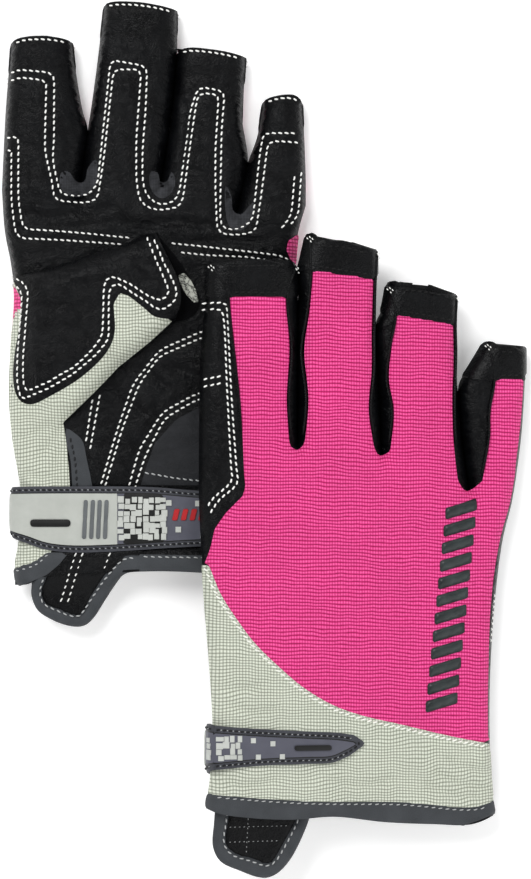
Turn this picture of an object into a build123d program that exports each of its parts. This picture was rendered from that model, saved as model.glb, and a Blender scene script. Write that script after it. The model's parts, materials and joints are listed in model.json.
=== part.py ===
"""A pair of three-quarter-finger sailing gloves, lying as a pair on a flat surface.

The left glove lies palm up. The right glove lies palm down, partly over it, and leans on it.
Each glove is drawn flat in a frame of its own: +Y towards the fingertips, the thumb on the -X side,
z = 0 on the outer face of the palm and z rising towards the back of the hand.
Finger and thumb stalls, the wrist strap's flap and the pull tab are separate bodies with clearance
at their fold lines.
"""

import os

from build123d import *

# Layers, from the palm to the back of the hand
overlay_thick = 0.8
palm_thick = 1.2
cavity_height = 6.0
back_thick = 1.0
wall = 1.2
palm_top = overlay_thick + palm_thick
back_low = palm_top + cavity_height
glove_height = back_low + back_thick

# Fold lines and loose fits
fold_gap = 0.5
seam_reach = 60.0

# Wrist
hem_width = 5.2
slit_apex = (-29.7, 49.0)
slit_mouth = (-33.0, -12.0)

# Finger stalls
band_length = 11.5

# Thumb stall, folded flat on the palm
thumb_lift = 0.4
thumb_height = 7.6
thumb_skin = 1.2
thumb_axis_x = -46.3
thumb_start = 1.2
thumb_root_seam = 4.0
thumb_band_length = 7.0

# Wrist strap
strap_body = 1.2
strap_print = 0.7
strap_wrap = 1.2
strap_gap = 0.4
pad_thick = 0.5
flap_start = 1.6
flap_low = glove_height + 2 * pad_thick + 0.3
flap_axis_z = flap_low + strap_body / 2

# Pull tab
tab_start = 2.2
tab_low = 2.6
tab_thick = 1.6
tab_binding = 3.6
tab_binding_extra = 0.5
tab_corner = 5.0
tab_reach = 12.0

# How the two gloves lie
left_place = (-35.5, -43.5)
left_pitch = 0.87
right_place = (26.1, -120.0)
right_roll = 9.0
right_lift = 0.4

# Outlines that differ between the gloves, in each glove's own frame.
# A finger is: left and right edge and height of its fold line, then its two corners at the opening.
LEFT = {
    "radial": [(-45.0, 0), (-43.5, 12), (-43.5, 26), (-46.0, 44), (-47.0, 60), (-45.8, 82), (-47.2, 101),
               (-49.5, 116), (-49.7, 124.5)],
    "ulnar": [(43.0, 0), (42.6, 30), (43.2, 60), (44.6, 85), (46.4, 104), (48.7, 119.5)],
    "fingers": {
        "index": ((-49.7, -25.3, 125.0), (-47.4, 170.5), (-26.9, 172.0)),
        "middle": ((-24.3, 2.4, 127.0), (-16.8, 184.0), (6.6, 183.0)),
        "ring": ((3.3, 26.3, 124.0), (7.5, 169.0), (29.4, 167.5)),
        "little": ((27.3, 48.7, 120.0), (35.2, 153.5), (47.7, 152.5)),
    },
    "thumb": [(-30.0, 49.0), (13.2, 87.0), (-2.8, 109.0), (-44.0, 95.0)],
    "thumb_foot": (54.0, 94.0),
    "strap": (-43.7, 26.0, 7.6, 28.2),
    "tab": (-39.5, -9.0, -16.5),
}
RIGHT = {
    "radial": [(-46.8, 0), (-44.8, 12), (-44.4, 28), (-46.0, 52), (-47.3, 70), (-48.4, 84), (-49.0, 100),
               (-49.2, 112), (-49.0, 120.5)],
    "ulnar": [(47.2, 0), (45.6, 23), (45.8, 43), (47.4, 68), (50.0, 88), (52.6, 99), (54.4, 107.5)],
    "fingers": {
        "index": ((-49.0, -17.8, 121.0), (-46.1, 177.2), (-18.4, 176.6)),
        "middle": ((-16.8, 9.8, 121.0), (-14.5, 186.0), (8.4, 181.8)),
        "ring": ((10.7, 37.3, 118.0), (11.8, 170.4), (34.4, 167.6)),
        "little": ((38.3, 54.6, 108.0), (43.5, 152.0), (57.4, 150.6)),
    },
    "thumb": [(-24.5, 30.5), (7.0, 57.0), (-6.0, 79.5), (-43.0, 63.0)],
    "thumb_foot": (36.0, 62.0),
    "strap": (-45.1, 30.0, 10.0, 27.8),
    "tab": (-43.5, -12.5, -20.5),
}
SEAM = [(-55.0, 88.0), (-46.1, 79.7), (-43.5, 71.6), (-32.3, 55.5), (-16.1, 41.0), (3.2, 30.6), (29.0, 23.9),
        (44.2, 21.9), (58.0, 21.2)]


def slab(outline, low, high):
    """A flat sheet between two heights. The outline is a list of corners or of edges."""
    if isinstance(outline[0], tuple):
        face = make_face(Polyline(*outline, close=True))
    else:
        face = make_face(outline)
    return Pos(0, 0, low) * extrude(face, high - low, dir=(0, 0, 1))


def strip(x_low, x_high, y_low, y_high, z_low, z_high):
    """A rectangular block from its limits."""
    size = (x_high - x_low, y_high - y_low, z_high - z_low)
    centre = ((x_high + x_low) / 2, (y_high + y_low) / 2, (z_high + z_low) / 2)
    return Pos(*centre) * Box(*size)


def hand_outline(glove, inset=0.0):
    """Edges of the hand without its fingers, stepped at the fold lines; the sides move in by inset."""
    radial = [(x + inset, y) for x, y in glove["radial"]]
    ulnar = [(x - inset, y) for x, y in glove["ulnar"]]
    fingers = list(glove["fingers"].values())
    top = [radial[-1]]
    for (base, _, _), (after, _, _) in zip(fingers, fingers[1:]):
        middle = (base[1] + after[0]) / 2
        top += [(middle, base[2] - fold_gap), (middle, after[2] - fold_gap)]
    top.append(ulnar[-1])
    steps = [p for i, p in enumerate(top) if i == 0 or p != top[i - 1]]
    return [Spline(*radial), Polyline(*steps), Spline(*ulnar), Line(ulnar[0], radial[0])]


def side_wall(edge_points, shift, low, high):
    """A thin upright wall that follows one side of the hand."""
    inner = [(x + shift, y) for x, y in edge_points]
    edges = [Spline(*edge_points), Line(edge_points[-1], inner[-1]), Spline(*inner),
             Line(inner[0], edge_points[0])]
    return slab(edges, low, high)


def below_seam(low, high):
    """Everything on the wrist's side of the curved seam across the back."""
    start, end = SEAM[0], SEAM[-1]
    edges = [Spline(*SEAM), Polyline(end, (end[0], -seam_reach), (start[0], -seam_reach), start)]
    return slab(edges, low, high)


def hand(glove):
    """The panels of the hand: back, cuff, palm, side walls, crotch gussets and wrist binding."""
    outline = hand_outline(glove)
    reach = 200.0
    above_hem = strip(-90, 90, hem_width, reach, -1, glove_height + 1)
    in_hem = strip(-90, 90, -1, hem_width, -1, glove_height + 1)
    cuff_zone = below_seam(-1, glove_height + 1)
    slit = slab([slit_apex, (slit_mouth[0], -5), (slit_mouth[1], -5)], -1, palm_top + 0.01)
    radial_of_slit = slab([(-90, slit_apex[1] + 6), (slit_apex[0] - 0.6, slit_apex[1]), (slit_mouth[0], -5),
                           (-90, -5)], -1, palm_top + 1)

    back_sheet = slab(outline, back_low, glove_height) & above_hem
    palm_sheet = slab(outline, overlay_thick, palm_top) & above_hem
    radial_wall = side_wall(glove["radial"], wall, palm_top, back_low)
    ulnar_wall = side_wall(glove["ulnar"], -wall, palm_top, back_low)
    cuff_wall = radial_wall & above_hem & cuff_zone

    shell = slab(outline, 0.3, glove_height)
    hollow = slab(hand_outline(glove, wall), palm_top, back_low)
    nodes = {
        "back_panel": back_sheet - cuff_zone,
        "cuff_panel": (back_sheet & cuff_zone) + cuff_wall + (palm_sheet & radial_of_slit),
        "palm_panel": palm_sheet - radial_of_slit - slit,
        "radial_sidewall": (radial_wall & above_hem) - cuff_zone,
        "ulnar_sidewall": ulnar_wall & above_hem,
        "wrist_binding": (shell & in_hem) - hollow - slit,
    }
    nodes["palm_overlay"] = palm_overlay(glove)
    nodes["fourchettes"] = crotch_gussets(glove)
    return nodes


def palm_overlay(glove):
    """Leather patches sewn onto the palm: one across the finger roots and one on the heel."""
    fingers = glove["fingers"]
    top = min(base[2] for base, _, _ in fingers.values()) - 2.0
    left = fingers["index"][0][0] + 2.5
    right = fingers["little"][0][1] - 3.5
    grip = slab([(left, top), (right - 2, top - 1), (right - 4, top - 16), (0, top - 14), (left + 1, top - 12)],
                0, overlay_thick)
    heel = slab([(-8, 32), (30, 32), (34, 60), (14, 66), (-2, 52)], 0, overlay_thick)
    return Part() + [grip, heel]


def crotch_gussets(glove):
    """Three short upright gussets where neighbouring finger stalls meet."""
    fingers = list(glove["fingers"].values())
    pieces = []
    for (base, _, _), (after, _, _) in zip(fingers, fingers[1:]):
        middle = (base[1] + after[0]) / 2
        low_y = min(base[2], after[2]) - 12.0
        high_y = min(base[2], after[2]) - fold_gap - 0.1
        pieces.append(strip(middle - wall, middle + wall, low_y, high_y, palm_top, back_low))
    return Part() + pieces


def stall_cavity(corners, before, beyond):
    """Corners of a stall's inside: in by the wall at both sides, and reaching past the stall's ends."""
    base_left, base_right, tip_right, tip_left = [Vector(*corner) for corner in corners]
    left = (tip_left - base_left).normalized()
    right = (tip_right - base_right).normalized()
    left_in = Vector(left.Y, -left.X) * wall
    right_in = Vector(-right.Y, right.X) * wall
    inner = [base_left + left_in - left * before, base_right + right_in - right * before,
             tip_right + right_in + right * beyond, tip_left + left_in + left * beyond]
    return [(p.X, p.Y) for p in inner]


def finger(spec):
    """One finger stall: a leather channel, the fabric on its back and the band at its opening."""
    (left, right, fold_y), tip_left, tip_right = spec
    base_left, base_right = (left, fold_y), (right, fold_y)
    outer = [base_left, base_right, tip_right, tip_left]
    channel = slab(outer, 0.4, back_low) - slab(stall_cavity(outer, 8, 8), palm_top, back_low + 1)
    cover = slab(outer, back_low, glove_height)
    band_low = min(tip_left[1], tip_right[1]) - band_length
    beyond = strip(-90, 90, band_low, 220, back_low - 1, glove_height + 1)
    return {"shell": channel, "back": cover - beyond, "band": cover & beyond}


def thumb(glove):
    """The thumb stall, folded over the palm: leather face, fabric gusset and a bound opening."""
    foot_low, foot_high = glove["thumb_foot"]
    start_x = thumb_axis_x + thumb_start
    lower_root, lower_tip, upper_tip, upper_root = glove["thumb"]
    outline = [(start_x, foot_low), lower_root, lower_tip, upper_tip, upper_root, (start_x, foot_high)]
    low, high = -thumb_lift - thumb_height, -thumb_lift
    inner = stall_cavity([upper_root, lower_root, lower_tip, upper_tip], -thumb_root_seam, 9)
    cavity = slab(inner, low + thumb_skin, high - thumb_skin)
    opening = Vector(*upper_tip) - Vector(*lower_tip)
    across = opening.normalized()
    along = Vector(across.Y, -across.X)
    corners = [Vector(*lower_tip) - across * 9, Vector(*upper_tip) + across * 9]
    mouth = [corners[0] + along * 9, corners[1] + along * 9, corners[1] - along * thumb_band_length,
             corners[0] - along * thumb_band_length]
    mouth_zone = slab([tuple(p)[:2] for p in mouth], low - 1, high + 1)
    stall = slab(outline, low, high) - cavity
    face_zone = strip(-90, 90, -90, 200, low - 1, high - thumb_skin)
    return {
        "thumb_shell": (stall - mouth_zone) & face_zone,
        "thumb_gusset": (stall - mouth_zone) - face_zone,
        "thumb_band": stall & mouth_zone,
    }


def strap(glove):
    """The wrist strap: its base on the palm side and round the edge, its printed face and its flap."""
    edge, reach, low, high = glove["strap"]
    outer = edge - strap_gap - strap_wrap
    base = strip(outer, reach, low, high, -strap_gap - strap_body, -strap_gap)
    wrap = strip(outer, edge - strap_gap, low, high, -strap_gap - strap_body, flap_axis_z - strap_body)
    face = strip(edge + 2, reach - 2, low + 2, high - 2, -strap_gap - strap_body - strap_print,
                 -strap_gap - strap_body)
    axis_x = outer + strap_wrap / 2
    centre = (low + high) / 2
    tip = (4.5, centre + 2.5)
    half = (high - low) / 2 - 0.6
    flap = slab([(axis_x + flap_start, centre - half), (-3.5, centre - half + 1.2), (1.5, centre - half + 2.6),
                 tip, (0.0, centre + half - 0.4), (axis_x + flap_start, centre + half)],
                flap_low, flap_low + strap_body)
    hook = strip(-30, -4, centre - half + 2.4, centre + half - 2.2, flap_low - pad_thick, flap_low)
    loop = strip(-38, -2, centre - half + 1.0, centre + half - 1.0, glove_height, glove_height + pad_thick)
    return {"strap_base": base + wrap, "strap_face": face, "strap_flap": flap, "hook_pad": hook, "loop_pad": loop}


def tab(glove):
    """The pull tab at the wrist: a rounded, slanting tongue with a binding round its free edge."""
    left, right, end = glove["tab"]
    start = -tab_start
    toe = (left + 0.52 * (right - left), end - 1.0)
    slant = (right - toe[0]) / (start - toe[1])
    corners = [(left, start + tab_reach), (left, start + 0.6 * (end - start)), toe,
               (right + slant * tab_reach, start + tab_reach)]
    sheet = make_face(Polyline(*corners, close=True))
    sheet = fillet(sheet.vertices().sort_by(Axis.Y)[:2], tab_corner)
    core = offset(sheet, -tab_binding)
    below = strip(left - 5, right + 5, end - 5, start, -5, 15)

    def layer(face, low, high):
        return (Pos(0, 0, low) * extrude(face, high - low, dir=(0, 0, 1))) & below

    body = layer(core, tab_low, tab_low + tab_thick)
    binding = layer(sheet, tab_low - tab_binding_extra, tab_low + tab_thick + tab_binding_extra)
    return {"pull_tab": body, "pull_tab_binding": binding - layer(core, -2, 12)}


def glove_nodes(glove):
    """Every node of one glove, in that glove's own frame."""
    nodes = hand(glove)
    for name, spec in glove["fingers"].items():
        for piece, solid in finger(spec).items():
            nodes[f"{name}_{piece}"] = solid
    nodes |= thumb(glove) | strap(glove) | tab(glove)
    return nodes


# Where each glove's own frame goes. The left glove is the same hand turned palm up, so it is mirrored.
flap_drop = flap_low + strap_body
palm_up = Pos(left_place[0], left_place[1], 0) * Rot(-left_pitch, 0, 0) * Pos(0, 0, flap_drop)
edge_x = RIGHT["fingers"]["little"][2][0]
palm_down = (Pos(right_place[0], right_place[1], right_lift) * Pos(edge_x, 0, 0) * Rot(0, right_roll, 0)
             * Pos(-edge_x, 0, 0))


def place_left(shape):
    return palm_up * mirror(shape, Plane.XY)


def place_right(shape):
    return palm_down * shape


placed = {f"left_{name}": place_left(solid) for name, solid in glove_nodes(LEFT).items()}
placed |= {f"right_{name}": place_right(solid) for name, solid in glove_nodes(RIGHT).items()}

# The origin is the centre of the pair's footprint, on the surface that it lies on.
boxes = [solid.bounding_box() for solid in placed.values()]
low = Vector(min(b.min.X for b in boxes), min(b.min.Y for b in boxes), min(b.min.Z for b in boxes))
high = Vector(max(b.max.X for b in boxes), max(b.max.Y for b in boxes), max(b.max.Z for b in boxes))
to_origin = Pos(-(low.X + high.X) / 2, -(low.Y + high.Y) / 2, -low.Z)

os.makedirs("parts", exist_ok=True)
for name, solid in placed.items():
    export_step(to_origin * solid, f"parts/{name}.step")
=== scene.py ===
"""The looks of a pair of short-finger sailing gloves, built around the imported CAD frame.

Each glove is drawn flat, in millimetres, in a frame of its own: +Y towards the fingertips, the thumb at -X,
z = 0 on the palm's face and z = 9 on the back. Sheets are cut as outlines, meshed, and raised by height
fields.
"""

import json
import math
import random

import bpy
import numpy as np
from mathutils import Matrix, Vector, noise
from mathutils.geometry import delaunay_2d_cdt


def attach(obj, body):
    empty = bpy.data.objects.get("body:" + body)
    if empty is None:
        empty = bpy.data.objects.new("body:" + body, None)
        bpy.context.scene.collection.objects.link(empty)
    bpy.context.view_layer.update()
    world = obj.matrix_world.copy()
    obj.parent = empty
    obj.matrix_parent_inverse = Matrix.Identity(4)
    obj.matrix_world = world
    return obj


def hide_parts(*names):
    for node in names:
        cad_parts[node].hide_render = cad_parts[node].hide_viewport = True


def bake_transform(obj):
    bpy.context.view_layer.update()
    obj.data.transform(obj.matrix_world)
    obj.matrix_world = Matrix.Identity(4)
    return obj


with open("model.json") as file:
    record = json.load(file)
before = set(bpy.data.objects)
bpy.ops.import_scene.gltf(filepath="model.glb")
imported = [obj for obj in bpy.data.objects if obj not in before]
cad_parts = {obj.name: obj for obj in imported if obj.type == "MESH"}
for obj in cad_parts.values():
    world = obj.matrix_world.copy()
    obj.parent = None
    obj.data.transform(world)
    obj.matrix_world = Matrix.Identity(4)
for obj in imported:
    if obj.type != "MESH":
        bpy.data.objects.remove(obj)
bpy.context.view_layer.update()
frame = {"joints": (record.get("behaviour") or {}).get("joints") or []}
joints = {j["name"]: j for j in frame["joints"]}
FINGERS = ("index", "middle", "ring", "little")

# Sizes of the glove and of its meshes, mm
MID = 4.5
HALF = 4.5
EDGE_ROUND = 5.6
DOME_REACH = 13.0
LEFT_BACK_LOW = 1.0
BLEND_START, BLEND_END = 0.3, 15.0
THUMB_AXIS_X = -46.3
SPACING = 1.35
LEATHER_THICK = 1.0
# The lining takes its grain from another place of the same pattern
LINING_SHIFT = 60.0

# Outlines, mm. An edge runs from the crotch, or the fold line, up to the opening.
LEFT = {
    "side": "left",
    "thumb_mid": 74.0,
    "wrist": [(-44.6, -3.2), (-41.6, -3.0), (-34.6, -0.2), (-26, 0.6), (-10, 1.0), (3, 1.3), (20, 0.6),
              (43.6, 0.0)],
    "radial": [(-44.6, -3.2), (-45.2, 3), (-43.8, 12), (-43.2, 26), (-46.0, 44), (-47.1, 57), (-46.6, 74),
               (-45.6, 90), (-46.8, 101), (-48.7, 111), (-49.7, 124.5)],
    "ulnar": [(43.6, 0), (43.0, 30), (43.2, 60), (44.6, 88), (46.1, 110), (48.7, 119.5)],
    "left_edges": {
        "index": [(-49.7, 124.5), (-48.5, 150), (-47.5, 163), (-46.9, 171.8)],
        "middle": [(-24.8, 122.6), (-21.9, 143.9), (-20.3, 154.8), (-18.4, 169.4), (-16.8, 183.9)],
        "ring": [(1.9, 126.5), (5.3, 150), (7.0, 168.7)],
        "little": [(26.5, 117.7), (29.8, 132.9), (33.0, 142.0), (34.0, 148.9), (34.6, 152.6)],
    },
    "right_edges": {
        "index": [(-24.8, 122.6), (-21.9, 143.9), (-23.5, 150), (-25.5, 161.3), (-26.8, 172.2)],
        "middle": [(1.9, 126.5), (5.3, 150), (7.0, 168.7), (7.1, 182.6)],
        "ring": [(26.5, 117.7), (30.0, 132.9), (28.1, 147.7), (28.4, 153.2), (29.4, 167.4)],
        "little": [(48.7, 119.5), (48.7, 127.4), (48.4, 137), (47.7, 152.3)],
    },
    "tips": {
        "index": [(-44.5, 173.1), (-36.0, 173.8), (-28.6, 172.9)],
        "middle": [(-15.3, 184.8), (-5.4, 184.8)],
        "ring": [(9.2, 170.0), (19.4, 169.4)],
        "little": [(36.0, 153.7), (42.3, 154.9), (46.4, 154.2)],
    },
    "back_crown": 0.15,
    "palm_crown": 1.5,
}
RIGHT = {
    "side": "right",
    "thumb_mid": 49.0,
    "wrist": [(-46.8, 2.6), (-43.5, 1.3), (-32, -0.3), (-19.5, -0.9), (-6.5, -0.2), (10, -2.2), (26, -3.1),
              (38.5, -3.4), (47.4, -0.4)],
    "radial": [(-46.8, 2.6), (-45.4, 13), (-44.6, 28), (-46.0, 52), (-47.2, 66), (-48.4, 84), (-49.2, 100),
               (-49.2, 120.5)],
    "ulnar": [(47.4, -0.4), (46.4, 8), (45.7, 23), (45.8, 43), (47.4, 68), (50.0, 88), (53.0, 100),
              (54.4, 108)],
    "left_edges": {
        "index": [(-49.2, 120.5), (-48.9, 145), (-47.8, 158.7), (-46.3, 176.8)],
        "middle": [(-17.4, 118.4), (-17.2, 140), (-17.1, 165), (-17.2, 174), (-16.2, 178.7), (-14.5, 186.1)],
        "ring": [(10.2, 115.8), (9.0, 140), (8.0, 157.1), (10.0, 162), (11.6, 170)],
        "little": [(38.7, 104.5), (36.0, 125), (35.4, 138), (38.6, 143.5), (42.0, 149), (43.5, 151.6)],
    },
    "right_edges": {
        "index": [(-17.4, 118.4), (-17.2, 140), (-17.1, 165), (-18.0, 176.2)],
        "middle": [(10.2, 115.8), (9.0, 140), (8.0, 157.1), (8.5, 172), (8.5, 181.3)],
        "ring": [(38.7, 104.5), (36.0, 125), (35.0, 138), (34.3, 150), (34.5, 167.2)],
        "little": [(54.4, 108), (56.2, 122), (57.3, 139.4), (57.4, 150.3)],
    },
    "tips": {
        "index": [(-40.3, 177.5), (-21.6, 177.5)],
        "middle": [(-12.9, 186.6), (-11.0, 184.6), (-3.2, 184.0), (6.5, 181.4)],
        "ring": [(13.0, 171.3), (15.6, 170.5), (24.2, 169.7)],
        "little": [(45.2, 152.2), (47.7, 150.8), (52.0, 150.6)],
    },
    "back_crown": 0.9,
    "palm_crown": 0.3,
}


# ---------------------------------------------------------------- curves and meshes

def resample(points, step, closed=False):
    """Evenly spaced points along a line, with its ends kept."""
    pts = np.asarray(points, float)
    if closed:
        pts = np.vstack([pts, pts[:1]])
    run = np.concatenate([[0], np.cumsum(np.linalg.norm(np.diff(pts, axis=0), axis=1))])
    count = max(1, int(round(run[-1] / step)))
    at = np.linspace(0, run[-1], count + 1)
    out = np.stack([np.interp(at, run, pts[:, i]) for i in range(pts.shape[1])], 1)
    return out[:-1] if closed else out


def smooth(points, step=SPACING, closed=False):
    """Evenly spaced points along a smooth curve through the given points."""
    pts = np.asarray(points, float)
    if len(pts) < 3 and not closed:
        return resample(pts, step)
    if closed:
        ext = np.vstack([pts[-1:], pts, pts[:2]])
    else:
        ext = np.vstack([2 * pts[0] - pts[1], pts, 2 * pts[-1] - pts[-2]])
    fine = []
    for i in range(1, len(ext) - 2):
        p0, p1, p2, p3 = ext[i - 1:i + 3]
        gaps = [max(np.linalg.norm(b - a), 1e-6) ** 0.5 for a, b in ((p0, p1), (p1, p2), (p2, p3))]
        t0, t1 = 0.0, gaps[0]
        t2, t3 = t1 + gaps[1], t1 + gaps[1] + gaps[2]
        t = np.linspace(t1, t2, 12, endpoint=False)[:, None]
        a1 = (t1 - t) / (t1 - t0) * p0 + (t - t0) / (t1 - t0) * p1
        a2 = (t2 - t) / (t2 - t1) * p1 + (t - t1) / (t2 - t1) * p2
        a3 = (t3 - t) / (t3 - t2) * p2 + (t - t2) / (t3 - t2) * p3
        b1 = (t2 - t) / (t2 - t0) * a1 + (t - t0) / (t2 - t0) * a2
        b2 = (t3 - t) / (t3 - t1) * a2 + (t - t1) / (t3 - t1) * a3
        fine.append((t2 - t) / (t2 - t1) * b1 + (t - t1) / (t2 - t1) * b2)
    if not closed:
        fine.append(pts[-1:])
    return resample(np.vstack(fine), step, closed)


def rounded(points, radius=3.0, step=0.6, closed=False):
    """Evenly spaced points along straight runs with rounded corners."""
    pts = np.asarray(points, float)
    count = len(pts)
    fine = []
    for i in range(count):
        if not closed and i in (0, count - 1):
            fine.append(pts[i:i + 1])
            continue
        before, here, after = pts[i - 1], pts[i], pts[(i + 1) % count]
        back, ahead = before - here, after - here
        long_back, long_ahead = np.linalg.norm(back), np.linalg.norm(ahead)
        cut = min(radius, 0.48 * long_back, 0.48 * long_ahead)
        start, end = here + back / long_back * cut, here + ahead / long_ahead * cut
        t = np.linspace(0, 1, 8)[:, None]
        fine.append((1 - t) ** 2 * start + 2 * t * (1 - t) * here + t ** 2 * end)
    return resample(np.vstack(fine), step, closed)


def side_line(points, offset):
    """The line moved sideways, to its left for a positive offset."""
    pts = np.asarray(points, float)
    along = np.gradient(pts, axis=0)
    along /= np.maximum(np.linalg.norm(along, axis=1)[:, None], 1e-9)
    return pts + np.stack([-along[:, 1], along[:, 0]], 1) * offset


def distance(points, lines):
    """The distance from each point to the nearest of the lines, and the nearest point."""
    starts = np.vstack([line[:-1] for line in lines])
    ends = np.vstack([line[1:] for line in lines])
    span = ends - starts
    length2 = np.maximum((span ** 2).sum(1), 1e-12)
    best, near = [], []
    for chunk in np.array_split(points, max(1, len(points) // 1500)):
        to = chunk[:, None, :] - starts[None]
        t = np.clip((to * span[None]).sum(2) / length2, 0, 1)
        foot = starts[None] + t[..., None] * span[None]
        d = np.linalg.norm(chunk[:, None, :] - foot, axis=2)
        k = d.argmin(1)
        best.append(d[np.arange(len(chunk)), k])
        near.append(foot[np.arange(len(chunk)), k])
    return np.concatenate(best), np.vstack(near)


def quarter_round(d, radius, least=0.0):
    """The height, 0 to 1, of a round edge at a distance from it."""
    return np.sqrt(np.clip(1 - (1 - np.clip(d / radius, 0, 1)) ** 2, least, 1))


def ease(share):
    """A share that starts and ends gently."""
    return share * share * (3 - 2 * share)


def looped(outline):
    """A closed outline with its first point again at its end."""
    return np.vstack([outline, outline[:1]])


def inside(points, outline):
    """True for points inside a closed outline."""
    x, y = points[:, 0][:, None], points[:, 1][:, None]
    x0, y0 = outline[:, 0][None], outline[:, 1][None]
    x1, y1 = np.roll(outline[:, 0], -1)[None], np.roll(outline[:, 1], -1)[None]
    crosses = (y0 > y) != (y1 > y)
    at = (x1 - x0) * (y - y0) / np.where(y1 == y0, 1e-12, y1 - y0) + x0
    return (crosses & (x < at)).sum(1) % 2 == 1


def triangulate(outline, spacing=SPACING, cuts=()):
    """A fine triangle mesh inside a closed outline. Cuts are lines that its edges have to follow."""
    outline = np.asarray(outline, float)
    low, high = outline.min(0), outline.max(0)
    rows = np.arange(low[1], high[1], spacing * 0.866)
    grid = [np.stack([np.arange(low[0] + (i % 2) * spacing / 2, high[0], spacing),
                      np.full(len(np.arange(low[0] + (i % 2) * spacing / 2, high[0], spacing)), y)], 1)
            for i, y in enumerate(rows)]
    grid = np.vstack(grid)
    grid = grid[inside(grid, outline)]
    ring = np.vstack([outline, outline[:1]])
    keep = distance(grid, [ring] + [np.asarray(c, float) for c in cuts])[0] > spacing * 0.55
    points = [Vector(p) for p in np.vstack([outline, grid[keep]])]
    edges = []
    for cut in cuts:
        first = len(points)
        points += [Vector(p) for p in cut]
        edges += [(first + i, first + i + 1) for i in range(len(cut) - 1)]
    verts, _, faces, *_ = delaunay_2d_cdt(points, edges, [list(range(len(outline)))], 1, 1e-5)
    return np.array([tuple(v) for v in verts]), np.array([list(f) for f in faces if len(f) == 3])


def cut_sheet(outline, spacing=SPACING, cuts=()):
    """The flat mesh of an outline, without the triangles that bridge its hollows."""
    flat, tris = triangulate(outline, spacing, cuts)
    return flat, tris[inside(flat[tris].mean(1), outline)]


def vertex_normals(verts, tris):
    """Area-weighted normals; vertices at one place share one."""
    key = np.unique(np.round(verts, 4), axis=0, return_inverse=True)[1].ravel()
    face = np.cross(verts[tris[:, 1]] - verts[tris[:, 0]], verts[tris[:, 2]] - verts[tris[:, 0]])
    total = np.zeros((key.max() + 1, 3))
    for i in range(3):
        np.add.at(total, key[tris[:, i]], face)
    total /= np.maximum(np.linalg.norm(total, axis=1)[:, None], 1e-12)
    return total[key]


def thicken(verts, tris, normals, outer, inner):
    """A closed sheet, with its outer face moved out along the normals, its inner face in, and rims."""
    n = len(verts)
    outer_verts = verts + normals * np.reshape(outer, (-1, 1))
    inner_verts = verts - normals * np.reshape(inner, (-1, 1))
    sides = np.vstack([tris[:, [0, 1]], tris[:, [1, 2]], tris[:, [2, 0]]])
    keys = np.sort(sides, axis=1)
    _, first, count = np.unique(keys, axis=0, return_index=True, return_counts=True)
    border = sides[first[count == 1]]
    rims = [(b, a, a + n, b + n) for a, b in border]
    faces = [tuple(t) for t in tris] + [(t[2] + n, t[1] + n, t[0] + n) for t in tris] + rims
    sharp = {tuple(sorted((a, b))) for a, b in border} | {tuple(sorted((a + n, b + n))) for a, b in border}
    return np.vstack([outer_verts, inner_verts]), faces, sharp, len(tris)


def make_mesh(name, verts, faces, flat=None, sharp=(), normals=None, outer_count=0, materials=()):
    """A mesh object from metres, with the flat pattern's millimetres kept as a UV map."""
    mesh = bpy.data.meshes.new(name)
    mesh.from_pydata([tuple(v) for v in verts], [], [tuple(int(i) for i in f) for f in faces])
    mesh.update()
    mesh.polygons.foreach_set("use_smooth", np.ones(len(mesh.polygons), bool))
    loop_vert = np.zeros(len(mesh.loops), int)
    mesh.loops.foreach_get("vertex_index", loop_vert)
    if flat is not None:
        uv = mesh.uv_layers.new(name="Flat")
        uv.data.foreach_set("uv", (np.asarray(flat, float)[loop_vert] * 0.01).astype(np.float32).ravel())
    if len(sharp):
        for edge in mesh.edges:
            if tuple(sorted(edge.vertices)) in sharp:
                edge.use_edge_sharp = True
    if normals is not None:
        custom = np.zeros((len(mesh.loops), 3))
        outer_loops = outer_count * 3
        custom[:outer_loops] = normals[loop_vert[:outer_loops]]
        mesh.normals_split_custom_set([tuple(v) for v in custom])
    for material in materials:
        mesh.materials.append(material)
    obj = bpy.data.objects.new(name, mesh)
    bpy.context.scene.collection.objects.link(obj)
    return obj


# ---------------------------------------------------------------- materials

def rgb(r, g, b):
    """A colour from 0 to 255 as a linear colour."""
    linear = [c / 255 / 12.92 if c <= 10 else ((c / 255 + 0.055) / 1.055) ** 2.4 for c in (r, g, b)]
    return (*linear, 1.0)


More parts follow.
